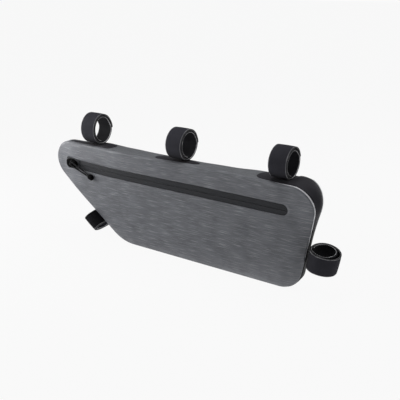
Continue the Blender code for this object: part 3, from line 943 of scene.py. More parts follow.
class Finishes:
    """Makes the bag's materials from their finishes."""

    def __init__(self) -> None:
        """Builds the shared effects that the materials place."""
        self.effects = Effects()

    @staticmethod
    def _material(name: str) -> tuple[bpy.types.Material, Nodes]:
        """Gives a new material and its nodes."""
        material = bpy.data.materials.new(name)
        material.use_nodes = True
        return material, Nodes(material.node_tree)

    @staticmethod
    def _shade(nodes: Nodes, looks: dict) -> None:
        """Gives the material's shader its looks, each a socket or a value."""
        shader = nodes.tree.nodes["Principled BSDF"]
        for label, value in looks.items():
            nodes.feed(shader.inputs[label], value)

    def _cloth(self, nodes: Nodes, across: float, along: float) -> tuple[Socket, Socket, dict]:
        """Places what every cloth has: its flat place, raised threads, and the masks of rubbing and
        painted light.

        Args:
            nodes: the material's nodes.
            across: threads in a metre across the cloth.
            along: threads in a metre along it.

        Returns:
            The flat place in metres, the threads' height, and the masks of rubbing and painted
            light.
        """
        place = nodes.add("UVMap", "UV", {}, uv_map=CLOTH_MAP)
        inputs = {"Vector": place, "Threads U": across, "Threads V": along}
        height = nodes.group(self.effects.weave, inputs)["Height"]
        worn_and_lit = nodes.add("Attribute", "Fac", {}, attribute_name=EDGE_MASK)
        where = nodes.add("TexCoord", "Object", {})
        wear_and_light = nodes.group(self.effects.wear_and_light, {"Vector": where, "Edge": worn_and_lit})
        return place, height, wear_and_light

    def heather(self, finish: HeatherFinish) -> bpy.types.Material:
        """Makes the coated heather cloth.

        Args:
            finish: its shades and gloss.

        Returns:
            The material.
        """
        material, nodes = self._material(finish.name)
        place, threads, wear_and_light = self._cloth(nodes, finish.threads_across, finish.threads_along)
        yarns = nodes.group(self.effects.heather, {"Vector": place})
        ground = nodes.mix(yarns["Mottle"], finish.dark, finish.light)
        fine_share = nodes.maths("MULTIPLY", yarns["Fine"], finish.fine_share)
        fine = nodes.mix(fine_share, ground, finish.light)
        dash_share = nodes.maths("MULTIPLY", yarns["Dashes"], finish.streak_share)
        dashed = nodes.mix(dash_share, fine, finish.streak)
        # The mask of rubbing and painted light lightens the cloth towards the streak shade.
        rub_and_light_share = nodes.maths("MULTIPLY", wear_and_light["Rubbed_and_lit"], finish.rim_lift)
        yarn_height = nodes.maths("MULTIPLY", yarns["Fine"], finish.yarn_rise)
        height = nodes.maths("ADD", yarn_height, threads)
        smoothest = finish.roughness - finish.uneven_gloss
        roughest = finish.roughness + finish.uneven_gloss
        looks = {
            "Base Color": nodes.mix(rub_and_light_share, dashed, finish.streak),
            "Roughness": nodes.ranged(wear_and_light["Cloudy"], 0, 1, smoothest, roughest),
            "Specular IOR Level": finish.gloss,
            "Coat Weight": finish.coat,
            "Coat Roughness": finish.coat_roughness,
            "Normal": nodes.bump(height, finish.thread_height),
        }
        self._shade(nodes, looks)
        return material

    def plain_cloth(self, finish: PlainClothFinish) -> bpy.types.Material:
        """Makes black cloth, tape or webbing.

        Args:
            finish: its shades, ribs and sheen.

        Returns:
            The material.
        """
        material, nodes = self._material(finish.name)
        _place, threads, wear_and_light = self._cloth(nodes, finish.ribs_across, finish.ribs_along)
        lift = nodes.maths("MULTIPLY", threads, 0.5)
        cloud = nodes.maths("MULTIPLY", wear_and_light["Cloudy"], 0.5)
        ground = nodes.mix(nodes.maths("ADD", lift, cloud), finish.base, finish.lifted)
        # Darkened where the hook mask is: the hook side, and painted shade.
        hook = nodes.add("Attribute", "Fac", {}, attribute_name=HOOK_AND_SHADE_MASK)
        faced = nodes.mix(hook, ground, tuple(shade * finish.hook_shade for shade in finish.base))
        rub_and_light_share = nodes.maths("MULTIPLY", wear_and_light["Rubbed_and_lit"], finish.edge_share)
        smoothest = finish.roughness - finish.uneven_gloss
        roughest = finish.roughness + finish.uneven_gloss
        looks = {
            "Base Color": nodes.mix(rub_and_light_share, faced, finish.edge),
            "Roughness": nodes.ranged(wear_and_light["Cloudy"], 0, 1, smoothest, roughest),
            "Specular IOR Level": finish.gloss,
            "Sheen Weight": finish.sheen,
            "Sheen Roughness": 0.5,
            "Normal": nodes.bump(threads, finish.rib_height),
        }
        self._shade(nodes, looks)
        return material

    def moulded(self, finish: MouldedFinish) -> bpy.types.Material:
        """Makes moulded plastic, enamel or rubber.

        Args:
            finish: its shade, grain and gloss.

        Returns:
            The material.
        """
        material, nodes = self._material(finish.name)
        place = nodes.add("TexCoord", "Object", {})
        grain = nodes.noise(place, (2600, 2600, 2600), 3.0)
        cloud = nodes.noise(place, (220, 220, 220), 2.0)
        darker = tuple(shade * finish.darkest for shade in finish.base)
        smoothest = finish.roughness - 0.05
        roughest = finish.roughness + 0.08
        looks = {
            "Base Color": nodes.mix(nodes.ranged(cloud, 0.3, 0.7), darker, finish.base),
            "Roughness": nodes.ranged(cloud, 0.3, 0.7, smoothest, roughest),
            "Specular IOR Level": finish.gloss,
            "Normal": nodes.bump(grain, finish.grain),
        }
        self._shade(nodes, looks)
        return material


def fit(item: bpy.types.Object, material: bpy.types.Material, slot: str, *nodes: str) -> None:
    """Dresses a piece and puts it in the place of the plain solids that it stands for.

    Args:
        item: the piece.
        material: what it is made of.
        slot: the record's material slot; not used.
        nodes: the frame's nodes that the piece stands for.
    """
    item.data.materials.clear()
    item.data.materials.append(material)
    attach(item, "root")
    if nodes:
        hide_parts(*nodes)
    log.info("%s is in place", item.name)


@dataclass
class Settling:
    """A cloth simulation that lets a sheet settle between its held edges."""

    pressure: float
    shrink: float
    cap: float
    frames: int = 20
    held_group: str = "held"

    def run(self, item: bpy.types.Object, held: Sequence[int]) -> None:
        """Settles the sheet and writes the result to its mesh.

        Args:
            item: the sheet.
            held: the vertices that stay in place.
        """
        group = item.vertex_groups.new(name=self.held_group)
        group.add(list(held), 1.0, "REPLACE")
        cloth = item.modifiers.new("settle", "CLOTH")
        settings = {
            "quality": 6,
            "mass": 0.15,
            "tension_stiffness": 20,
            "compression_stiffness": 20,
            "shear_stiffness": 10,
            "bending_stiffness": 1.5,
            "use_pressure": True,
            "uniform_pressure_force": self.pressure,
            "shrink_min": self.shrink,
            "vertex_group_mass": self.held_group,
        }
        for name, value in settings.items():
            setattr(cloth.settings, name, value)
        cloth.settings.effector_weights.gravity = 0.0
        cloth.point_cache.frame_start = 1
        cloth.point_cache.frame_end = self.frames
        for frame in range(1, self.frames + 1):
            bpy.context.scene.frame_set(frame)
        settled = item.evaluated_get(bpy.context.evaluated_depsgraph_get())
        ends = [vertex.co.copy() for vertex in settled.data.vertices]
        item.modifiers.remove(cloth)
        bpy.context.scene.frame_set(1)
        furthest = 0.0
        for vertex, end in zip(item.data.vertices, ends):
            shift = end - vertex.co
            furthest = max(furthest, shift.length)
            if shift.length > self.cap:
                shift *= self.cap / shift.length
            vertex.co += shift
        item.vertex_groups.remove(group)
        log.info("%s settled, by %.2f mm at most before the cap", item.name, furthest * 1000)


@dataclass
class Zip:
    """The zip in the front panel: its slot, two tapes, hood, slider, pull loop and grip."""

    shape: BagShape
    start: float = 0.0200
    length: float = 0.3070
    below_top: float = 0.0278
    band: float = 0.0126
    sink: float = 0.0003
    parting: float = 0.0003
    gap: float = 0.0003
    tape_wall: float = 0.0008
    tape_step: float = 0.0025
    tape_narrowest: float = 0.0002
    tape_shares: tuple[float, ...] = (
        0.0, 0.03, 0.07, 0.14, 0.26, 0.36, 0.44, 0.52, 0.62, 0.80, 1.0
    )
    coil_rise: float = 0.00012
    coil_start: float = 0.0001
    coil_roll: float = 0.0004
    coil_end: float = 0.0021
    coil_fall: float = 0.0009
    parting_dip: float = 0.0001
    garage_length: float = 0.0070
    hood_length: float = 0.0168
    hood_width: float = 0.0124
    hood_drop: float = 0.0002
    hood_inset: float = 0.0004
    hood_roundness: float = 0.7
    hood_levels: tuple[Point, ...] = (
        (0.0, 1.0),
        (0.0010, 1.0),
        (0.0014, 0.97),
        (0.0017, 0.90),
        (0.0018, 0.80),
        (0.0016, 0.62),
        (0.0015, 0.40),
    )
    tab_length: float = 0.0230
    tab_rise: float = 0.0016
    tab_lap: float = 0.0004
    tab_half_share: float = 0.505
    tab_roundness: float = 0.42
    tab_levels: tuple[Point, ...] = (
        (-0.0006, 1.0),
        (0.0002, 1.0),
        (0.00045, 0.985),
        (0.0005, 0.95),
        (0.0005, 0.5),
    )
    nose_rise: float = 0.0013
    nose_reach: float = 0.0750
    bead_away: float = 0.0026
    bead_rise: float = 0.00030
    bead_spread: float = 0.0011
    ring_places: tuple[float, ...] = (0.0008, 0.0017, 0.0026, 0.0035, 0.0046)
    ring_step: float = 0.0034
    slider_length: float = 0.0120
    slider_width: float = 0.0090
    slider_thickness: float = 0.0026
    slider_step: float = 0.0008
    slider_waist: float = 0.10
    slider_waist_reach: float = 0.4
    slider_levels: tuple[Point, ...] = (
        (0.0, 0.90),
        (0.0003, 0.97),
        (0.0006, 1.0),
        (0.0018, 1.0),
        (0.0022, 0.97),
        (0.0025, 0.90),
        (0.0026, 0.80),
    )
    bridge_radius: float = 0.0008
    bridge_arch: tuple[Point, ...] = (
        (-0.0044, -0.0004),
        (-0.0043, 0.0008),
        (-0.0038, 0.0017),
        (-0.0028, 0.0023),
        (-0.0012, 0.0025),
        (0.0002, 0.0024),
        (0.0010, 0.0019),
        (0.0013, 0.0010),
        (0.0013, -0.0004),
    )
    cord_radius: float = 0.0009
    cord_spread_at_slider: float = 0.0021
    cord_spread_at_grip: float = 0.0011
    cord_droop: float = 0.0012
    cord_in_grip: float = 0.0012
    pull_length: float = 0.0352
    pull_angle: float = math.radians(-23.4)
    grip_length: float = 0.0085
    grip_width: float = 0.0068
    grip_thickness: float = 0.0052
    grip_roundness: float = 0.8
    grip_end_power: float = 3.4
    groove_places: tuple[float, ...] = (0.36, 0.52, 0.68)
    groove_spread: float = 0.035
    groove_depth: float = 0.09

    @property
    def centre(self) -> Vector:
        """Middle of the slot, in X and Z."""
        x = self.shape.nose_x + self.start + self.length / 2
        return Vector((x, self.shape.outline.height - self.below_top))

    def level(self, x: float) -> float:
        """Z of the middle of the band, which rises a little towards the nose."""
        first = self.centre.x - self.length / 2
        return self.centre.y + self.nose_rise * (1 - smooth((x - first) / self.nose_reach))

    def _round(self, away: float, step: float, corners: int) -> list[Point]:
        """A line round the band at a distance from its edge, with points a step apart."""
        loop = resample(stadium(self.length + 2 * away, self.band + 2 * away, corners), step)
        return [(self.centre.x + x, self.level(self.centre.x + x) + z) for x, z in loop]

    def slot(self, step: float) -> list[Point]:
        """The slot's outline, with points at most a step apart."""
        return self._round(0.0, step, 10)

    def face_y(self, x: float, z: float) -> float:
        """Y of the front panel's face at a place."""
        return -self.shape.face_depth(x, z, Side.FRONT)

    def _relief(self, away: float) -> float:
        """How far the tape stands up over the coil under it, at a distance from the parting."""
        roll = smooth((away - self.coil_start) / self.coil_roll)
        fall = 1 - smooth((away - self.coil_end) / self.coil_fall)
        return self.coil_rise * roll * fall - self.parting_dip * (1 - roll)

    def tape(self, name: str, direction: int) -> bpy.types.Object:
        """Builds one half of the tape.

        Args:
            name: the piece's name.
            direction: 1 for the upper half and -1 for the lower one.

        Returns:
            The tape, with its wall.
        """
        centre = self.centre
        radius = self.band / 2 - self.gap
        half = self.length / 2 - self.gap
        round_steps = 8
        tips = [
            radius * (1 - math.cos(math.pi / 2 * (step + 0.2) / round_steps))
            for step in range(round_steps)
        ]
        straight = spaced(-half + radius, 2 * (half - radius), self.tape_step)
        marks = [tip - half for tip in tips] + straight + [half - tip for tip in reversed(tips)]
        rows = []
        for mark in marks:
            past = max(0.0, abs(mark) - (half - radius))
            reach = math.sqrt(max(radius * radius - past * past, 0.0))
            span = max(reach - self.parting / 2, self.tape_narrowest)
            row = []
            for share in self.tape_shares:
                away = self.parting / 2 + span * share
                x = centre.x + mark
                z = self.level(x) + direction * away
                y = self.face_y(x, z) + self.sink - self._relief(away)
                row.append(Vector((x, y, z)))
            rows.append(row)
        item = Meshes.grid(name, rows, [share * radius for share in self.tape_shares], marks)
        Meshes.face_along(item, lambda _point: Vector((0, -1, 0)))
        Meshes.thicken(item, self.tape_wall)
        return item

    def garage(self) -> bpy.types.Object:
        """Builds the low hood at the nose end that the slider parks against."""
        start_x = self.centre.x - self.length / 2
        middle_x = start_x + self.hood_length / 2 + self.hood_inset
        middle_z = self.level(start_x) - self.hood_drop
        base = self.face_y(start_x + self.hood_length, middle_z) + self.sink
        outline = [
            (wide * self.hood_length / 2, tall * self.hood_width / 2)
            for wide, tall in squarish(40, self.hood_roundness)
        ]
        return Meshes.moulding(
            "slider_hood",
            outline,
            self.hood_levels,
            lambda across, up: Vector((middle_x + across, base, middle_z + up)),
        )

    def end_tab(self) -> bpy.types.Object:
        """Builds the flat square tab that closes the zip's nose end, under the hood."""
        middle_x = self.centre.x - self.length / 2 + self.tab_length / 2 - self.tab_lap
        outline = []
        for wide, tall in squarish(48, self.tab_roundness):
            raised = self.tab_rise * (0.5 - wide / 2) if tall > 0 else 0.0
            up = tall * self.band * self.tab_half_share + raised
            outline.append((wide * self.tab_length / 2, up))

        def spot(across: float, up: float) -> Vector:
            """The tab's foot lies on the panel, along the band."""
            x = middle_x + across
            return Vector((x, self.face_y(x, self.level(x)), self.level(x) + up))

        return Meshes.moulding("zip_end_tab", outline, self.tab_levels, spot)

    def away(self, x: float, z: float) -> float:
        """How far a place lies outside the slot's edge."""
        radius = self.band / 2
        past = max(abs(x - self.centre.x) - (self.length / 2 - radius), 0.0)
        return math.hypot(past, z - self.level(x)) - radius

    def lip(self, x: float, z: float) -> float:
        """How far the panel stands up beside the slot: a low bead where the tape is welded on."""
        aside = (self.away(x, z) - self.bead_away) / self.bead_spread
        return self.bead_rise * math.exp(-(aside**2))

    def rings(self) -> list[Point]:
        """Places round the slot that the panel's mesh needs for the bead."""
        points = []
        for away in self.ring_places:
            points += self._round(away, self.ring_step, 12)
        return points

    def slider_place(self) -> tuple[Vector, float]:
        """Middle of the slider in X and Z, and the Y of its underside."""
        centre = self.centre
        start = centre.x - self.length / 2
        x = start + self.garage_length + self.gap + self.slider_length / 2
        level = self.level(x)
        return Vector((x, level)), self.face_y(x + self.slider_length / 2, level) - self.gap

    def slider(self) -> bpy.types.Object:
        """Builds the slider's body with softened edges and a shallow waist."""
        middle, base = self.slider_place()
        outline = []
        waist_reach = self.slider_length * self.slider_waist_reach
        plain = stadium(self.slider_length, self.slider_width, 10)
        for x, z in resample(plain, self.slider_step):
            waist = 1 - self.slider_waist * smooth(1 - abs(x) / waist_reach)
            outline.append((x, z * waist))
        return Meshes.moulding(
            "slider_body",
            outline,
            self.slider_levels,
            lambda across, up: Vector((middle.x + across, base, middle.y + up)),
        )

    def bridge(self) -> bpy.types.Object:
        """Builds the slider's arch, which holds the pull loop."""
        middle, base = self.slider_place()
        top = base - self.slider_thickness
        route = [Vector((middle.x + x, top - rise, middle.y)) for x, rise in self.bridge_arch]
        return Meshes.cord("slider_bridge", route, [self.bridge_radius] * len(route), 12)

    def _pull_frame(self) -> tuple[Vector, Vector, Vector, float]:
        """Start of the pull, its two directions in X and Z, and the Y of its cord."""
        middle, base = self.slider_place()
        along = Vector((math.cos(self.pull_angle), math.sin(self.pull_angle)))
        across = Vector((-along.y, along.x))
        return middle, along, across, base - self.slider_thickness - self.gap - self.cord_radius

    def pull_loop(self) -> bpy.types.Object:
        """Builds the doubled braided cord, held under the bridge and in the grip."""
        middle, along, across, cord_y = self._pull_frame()
        reach = self.pull_length - self.grip_length + self.cord_in_grip
        legs = []
        steps = 16
        for step in range(steps + 1):
            share = 1 - step / steps
            spread = self.cord_spread_at_slider * (1 - share) + self.cord_spread_at_grip * share
            legs.append((reach * share, spread))
        bends = 10
        spread = self.cord_spread_at_slider
        bend = []
        for step in range(1, bends):
            angle = math.pi / 2 + math.pi * step / bends
            bend.append((spread * math.cos(angle), spread * math.sin(angle)))
        flat = legs + bend + [(forward, -side) for forward, side in reversed(legs)]
        route = []
        for forward, side in flat:
            spot = middle + along * forward + across * side
            droop = self.cord_droop * smooth(forward / reach)
            route.append(Vector((spot.x, cord_y + droop, spot.y)))
        return Meshes.cord("pull_cord_loop", route, [self.cord_radius] * len(route), 12)

    def grip(self) -> bpy.types.Object:
        """Builds the moulded grip: a flattened capsule with three grip grooves."""
        middle, along, across, cord_y = self._pull_frame()
        start = middle + along * (self.pull_length - self.grip_length)
        rows = []
        marks = []
        steps = 36
        sides = 24
        for step in range(steps + 1):
            share = step / steps
            turned = 0.5 - 0.5 * math.cos(math.pi * share)
            past = abs(2 * turned - 1)
            full = (1 - min(past, 0.9995) ** self.grip_end_power) ** 0.5
            groove = 0.0
            for place in self.groove_places:
                groove += math.exp(-(((turned - place) / self.groove_spread) ** 2))
            full *= 1 - self.groove_depth * groove
            mark = turned * self.grip_length
            row = []
            for wide, deep in squarish(sides, self.grip_roundness):
                spot = start + along * mark + across * wide * full * self.grip_width / 2
                depth = deep * full * self.grip_thickness / 2
                row.append(Vector((spot.x, cord_y + self.cord_droop + depth, spot.y)))
            rows.append(row)
            marks.append(mark)
        around = [self.grip_width * math.pi * side / sides for side in range(sides + 1)]
        return Meshes.grid("pull_grip", rows, around, marks, ring=True, caps=True)

    def make(
        self,
        tape: bpy.types.Material,
        metal: bpy.types.Material,
        cord: bpy.types.Material,
        rubber: bpy.types.Material,
    ) -> None:
        """Builds and dresses every piece of the zip."""
        fit(self.tape("tape_upper", 1), tape, "zip_tape", "zip_tape_upper")
        fit(self.tape("tape_lower", -1), tape, "zip_tape", "zip_tape_lower")
        fit(self.end_tab(), tape, "zip_tape")
        fit(self.garage(), metal, "zip_slider", "zip_garage")
        fit(self.slider(), metal, "zip_slider", "zip_slider")
        fit(self.bridge(), metal, "zip_slider")
        fit(self.pull_loop(), cord, "pull_cord", "zip_pull_loop")
        fit(self.grip(), rubber, "pull_grip", "zip_pull_grip")


@dataclass
class Panel:
    """One large side of the bag: a rolled rim, a swollen face and, in front, the zip's slot."""

    shape: BagShape
    side: Side
    name: str
    node: str
    wall: float = 0.0012
    mark_step: float = 0.0034
    spacing: float = 0.0036
    rim_turns: tuple[int, ...] = (90, 72, 54, 36, 18, 0)
    groove: float = 0.00015
    groove_gap: float = 0.0003
    wave: float = 0.0003
    wave_reach: float = 0.0160
    broad_waves: float = 17.0
    small_waves: float = 48.0
    small_wave_share: float = 0.35
    fold: Point = (0.1150, 0.0830)
    fold_size: Point = (0.0045, 0.0110)
    fold_depth: float = 0.0007
    # Painted light near the foot: the cloth there is made lighter, standing in for light from the
    # floor.
    foot_level: float = 0.002
    foot_height: float = 0.0320
    foot_light_from: float = -0.03
    foot_light_length: float = 0.09
    seam_worn: float = 0.2
    rim_worn: float = 0.45
    slot_worn: float = 0.4
    calm_round_slot: float = 0.012
    held_round_slot: float = 0.0050

    def _wave(self, x: float, z: float) -> float:
        """Uneven swell of the cloth, which fades out at the rim."""
        inside = float(self.shape.inside(np.array(x), np.array(z)))
        fade = smooth((inside - self.shape.rim_radius) / self.wave_reach)
        seed = float(self.side.value)
        broad = ripple(x, seed, z * 0.8, self.broad_waves)
        small = ripple(x, seed + 5.0, z, self.small_waves)
        aside = (x - self.fold[0]) / self.fold_size[0]
        along = (z - self.fold[1]) / self.fold_size[1]
        crease = self.fold_depth * math.exp(-aside * aside - along * along)
        return self.wave * fade * (broad + self.small_wave_share * small) - crease * fade

    def _painted_foot_light(self, x: float, z: float) -> float:
        """Painted light: how much lighter the cloth is made, most along the foot that the bag
        stands on, at the seat end, standing in for light from the floor.
        """
        rise = 1 - smooth((z - self.foot_level) / self.foot_height)
        return rise * smooth((x - self.foot_light_from) / self.foot_light_length)

    def build(self, fastener: Zip | None) -> bpy.types.Object:
        """Builds the panel.

        Args:
            fastener: the zip that the panel is slotted for, or None on a plain panel.

        Returns:
            The panel, settled and with its wall.
        """
        shape = self.shape
        sign = self.side.value
        slot = fastener.slot(self.mark_step) if fastener else []
        extra = fastener.rings() if fastener else []
        work = bmesh.new()
        layer, mask, _hook_and_shade_masks = Meshes.sheet_layers(work)
        marks = shape.outline.stations(self.mark_step)
        flat = {}
        rings = []
        places = [shape.outline.at(mark) for mark in marks]
        ring = []
        drop = shape.rim_radius * math.pi / 2 + shape.seam_slot / 2
        for point, normal in places:
            sunk = point - normal * self.groove
            depth = shape.seam_depth(point.x, point.y, self.side) + self.groove_gap
            vertex = work.verts.new((sunk.x, sign * depth, sunk.y))
            spread = point + normal * (drop - shape.rim_radius)
            flat[vertex] = (spread.x, spread.y)
            vertex[mask] = self.seam_worn
            ring.append(vertex)
        rings.append(ring)
        for turn in self.rim_turns:
            angle = math.radians(turn)
            sunk = shape.rim_radius * (1 - math.cos(angle))
            inset = shape.rim_radius * (1 - math.sin(angle))
            ring = []
            for point, normal in places:
                inner = point - normal * inset
                depth = shape.edge_depth(point.x, point.y, self.side) - sunk
                vertex = work.verts.new((inner.x, sign * depth, inner.y))
                spread = point + normal * (shape.rim_radius * (angle - 1))
                flat[vertex] = (spread.x, spread.y)
                rolled = self.rim_worn * math.sin(min(angle * 1.5, math.pi / 2))
                # The rolled rim's mask, raised to the painted light near the foot where that is
                # more.
                vertex[mask] = max(rolled, self._painted_foot_light(inner.x, inner.y))
                ring.append(vertex)
            rings.append(ring)
        for outer, inner in zip(rings, rings[1:]):
            for index in range(len(outer)):
                after = (index + 1) % len(outer)
                work.faces.new((outer[index], outer[after], inner[after], inner[index]))
        boundary = [(vertex.co.x, vertex.co.z) for vertex in rings[-1]]
        points, triangles, origins = Meshes.fill(boundary, self.spacing, slot, extra)
        held = set()
        verts = []
        for point, origin in zip(points, origins):
            on_rim = [index for index in origin if index < len(boundary)]
            on_slot = [index for index in origin if 0 <= index - len(boundary) < len(slot)]
            if on_rim:
                verts.append(rings[-1][on_rim[0]])
                continue
            depth = shape.face_depth(*point, self.side)
            if fastener:
                calm = smooth(fastener.away(*point) / self.calm_round_slot)
                depth += fastener.lip(*point) + self._wave(*point) * calm
            else:
                depth += self._wave(*point)
            vertex = work.verts.new((point[0], sign * depth, point[1]))
            # Beside the slot the mask is the slot's rubbing; elsewhere it is the painted light near
            # the foot.
            vertex[mask] = self.slot_worn if on_slot else self._painted_foot_light(*point)
            flat[vertex] = point
            verts.append(vertex)
            if on_slot or (fastener and fastener.away(*point) < self.held_round_slot):
                held.add(vertex)
        for triangle in triangles:
            corners = {verts[index] for index in triangle}
            if len(corners) == 3:
                work.faces.new([verts[index] for index in triangle])
        for ring in rings:
            held.update(ring)
        Meshes.set_map(work, layer, flat)
        work.verts.index_update()
        kept = [vertex.index for vertex in held]
        item = Meshes.object_from(self.name, work)
        Meshes.face_along(item, lambda _point: Vector((0, sign, 0)))
        Settling(pressure=1.0, shrink=0.0, cap=0.0008).run(item, kept)
        finer = item.modifiers.new("finer", "SUBSURF")
        finer.levels = 1
        finer.render_levels = 1
        finer.boundary_smooth = "PRESERVE_CORNERS"
        Meshes.thicken(item, self.wall)
        return item

    def make(self, cloth: bpy.types.Material, fastener: Zip | None = None) -> None:
        """Builds the panel and dresses it."""
        fit(self.build(fastener), cloth, "panel_cloth", self.node)


@dataclass(frozen=True)
class Patch:
    """A round-ended black patch on the gusset, from start to end along the outline.

    The tips' shifts are how far its two tips lie to the rear, as shares of its half width. The
    margin is how far its long edges stay inside the gusset's. From shaded_from on along the outline
    the cloth is painted darker: painted shadow beside the seat-tube strap, near the foot.
    """

    name: str
    node: str
    start: float
    end: float
    margin: float
    tip_shifts: tuple[float, float] = (0.0, 0.0)
    shaded_from: float = 9.0


@dataclass
class Gusset:
    """The band round the bag between its panels, and the black patches on it."""

    shape: BagShape
    wall: float = 0.0012
    mark_step: float = 0.0034
    groove: float = 0.00015
    groove_gap: float = 0.0003
    sag: float = 0.0003
    bulge: float = 0.0042
    bulge_before: float = 0.0135
    bulge_after: float = 0.0330
    bulge_full: float = 0.40
    bulge_lean: float = 1.25
    shares: tuple[float, ...] = (0.04, 0.12, 0.26, 0.42, 0.58, 0.74, 0.88, 0.96)
    worn_edge: tuple[float, float] = (0.3, 0.1)
    patch_margin: float = 0.0010
    nose_patch_before: float = 0.0395
    nose_patch_length: float = 0.0670
    nose_patch_shift: float = 0.7
    middle_patch_before: float = 0.0331
    middle_patch_after: float = 0.0249
    end_piece_before: float = 0.0300
    end_piece_share: float = 0.97
    end_lap: float = 0.0012
    patch_top: float = 0.0011
    patch_edge: float = 0.00025
    patch_slope: float = 0.0090
    # Painted shadow on the end piece, beside the seat-tube strap near the foot:
    shade_before: float = 0.0580
    shade_length: float = 0.0140
    patch_wall: float = 0.00025
    patch_spacing: float = 0.0022

    def _bulge(self, mark: float) -> float:
        """How far the middle of the band stands out, which it does round the wide seat corner."""
        start, length, _fillet = self.shape.outline.arcs[0]
        past = mark - start
        grown = smooth((past + self.bulge_before) / self.bulge_before)
        faded = smooth((past - length * self.bulge_full) / self.bulge_after)
        return self.bulge * grown * (1 - faded)

    def place(self, mark: float, y: float, rise: float) -> Vector:
        """A point over the gusset.

        Args:
            mark: the distance along the outline.
            y: the place across the bag.
            rise: the height over the gusset's own face.

        Returns:
            The point in space.
        """
        point, normal = self.shape.outline.at(mark)
        front, rear = self.shape.gusset_bounds(point)
        share = min(max((y - front) / (rear - front), 0.0), 1.0)
        arch = (self._bulge(mark) - self.sag) * math.sin(math.pi * share**self.bulge_lean)
        outer = point + normal * (rise + arch)
        return Vector((outer.x, y, outer.y))

    def band(self) -> bpy.types.Object:
        """Builds the grey band, with edges that dip into the seams."""
        outline = self.shape.outline
        marks = outline.stations(self.mark_step)
        widest = 2 * self.shape.half_depth
        rows = []
        for mark in marks:
            point, _normal = outline.at(mark)
            front_seam = -self.shape.seam_depth(point.x, point.y, Side.FRONT) + self.groove_gap
            rear_seam = self.shape.seam_depth(point.x, point.y, Side.REAR) - self.groove_gap
            front, rear = self.shape.gusset_bounds(point)
            row = [self.place(mark, front_seam, -self.groove)]
            for share in self.shares:
                row.append(self.place(mark, front + (rear - front) * share, 0.0))
            row.append(self.place(mark, rear_seam, -self.groove))
            rows.append(row)
        across = [0.0, *(share * widest for share in self.shares), widest]
        unworn = [0.0] * (len(self.shares) - 2)
        edge = [*self.worn_edge, *unworn, *reversed(self.worn_edge)]
        along = [*marks, outline.length]
        item = Meshes.grid("gusset_band", rows, across, along, [edge] * len(rows), loop=True)
        self._face_out(item)
        Meshes.thicken(item, self.wall)
        return item

    def _face_out(self, item: bpy.types.Object) -> None:
        """Turns a sheet's faces away from the middle of the bag."""
        middle = Vector(((self.shape.nose_x + self.shape.seat_x) / 2, 0.0, 0.0))
        middle.z = self.shape.outline.height / 2

        def outward(point: Vector) -> Vector:
            """Direction from the bag's middle to a point, level with the side."""
            away = point - middle
            return Vector((away.x * 0.3, 0.0, away.z)).normalized()

        Meshes.face_along(item, outward)

    def patch(self, patch: Patch) -> bpy.types.Object:
        """Builds a round-ended patch on the gusset.

        Args:
            patch: where it lies.

        Returns:
            The patch, with its wall.
        """
        outline = self.shape.outline
        start = patch.start
        end = patch.end
        front, rear = self.shape.gusset_bounds(outline.at(start)[0])
        radius = (rear - front) / 2
        end_steps = 9
        tips = [
            radius * (1 - math.cos(math.pi / 2 * step / end_steps)) for step in range(end_steps)
        ]
        straight = spaced(start + radius, end - start - 2 * radius, self.patch_spacing)
        marks = [start + tip for tip in tips] + straight
        marks += [end - radius] + [end - tip for tip in reversed(tips)][1:]
        fronts = []
        rears = []
        for mark in marks:
            front, rear = self.shape.gusset_bounds(outline.at(mark)[0])
            front += patch.margin
            rear -= patch.margin
            for reach, shift in zip((mark - start, end - mark), patch.tip_shifts):
                if reach < radius:
                    tip = (front + rear) / 2 + shift * (rear - front) / 2
                    share = math.sqrt(max(0.0, 1 - (1 - reach / radius) ** 2))
                    front = tip - (tip - front) * share
                    rear = tip + (rear - tip) * share
            fronts.append((mark, front))
            rears.append((mark, rear))
        loop = resample(fronts + list(reversed(rears)), self.patch_spacing)
        edge = np.array(loop)

        def spot(mark: float, y: float) -> Vector:
            """The patch's outer face: it rises softly from its edge."""
            away = float(np.linalg.norm(edge - np.array((mark, y)), axis=1).min())
            share = smooth(away / self.patch_slope)
            rise = self.patch_edge + (self.patch_top - self.patch_edge) * share
            return self.place(mark, y, rise)

        def shade(mark: float, _y: float) -> float:
            """Painted shadow: how much darker the cloth is made, which grows along the outline."""
            return smooth((mark - patch.shaded_from) / self.shade_length)

        item = Meshes.patch(patch.name, loop, self.patch_spacing, spot, shade)
        self._face_out(item)
        Meshes.thicken(item, self.patch_wall)
        return item

    def make(
        self, cloth: bpy.types.Material, black: bpy.types.Material, straps: "Straps"
    ) -> None:
        """Builds and dresses the band, the two patches and the black end piece."""
        fit(self.band(), cloth, "gusset_cloth", "main_gusset")
        outline = self.shape.outline
        first, middle, last = (outline.walk_to_top(x) for x in straps.top_places())
        nose = first - self.nose_patch_before
        foot_start, foot_length, _fillet = outline.arcs[1]
        patches = (
            Patch(
                "nose_patch",
                "patch_top_front",
                nose,
                nose + self.nose_patch_length,
                self.patch_margin,
                tip_shifts=(0.0, self.nose_patch_shift),
            ),
            Patch(
                "middle_patch",
                "patch_top_middle",
                middle - self.middle_patch_before,
                middle + self.middle_patch_after,
                self.patch_margin,
            ),
            Patch(
                "end_piece",
                "end_gusset",
                last - self.end_piece_before,
                foot_start + foot_length * self.end_piece_share,
                -self.end_lap,
                shaded_from=foot_start - self.shade_before,
            ),
        )
        for patch in patches:
            fit(self.patch(patch), black, "patch_cloth", patch.node)


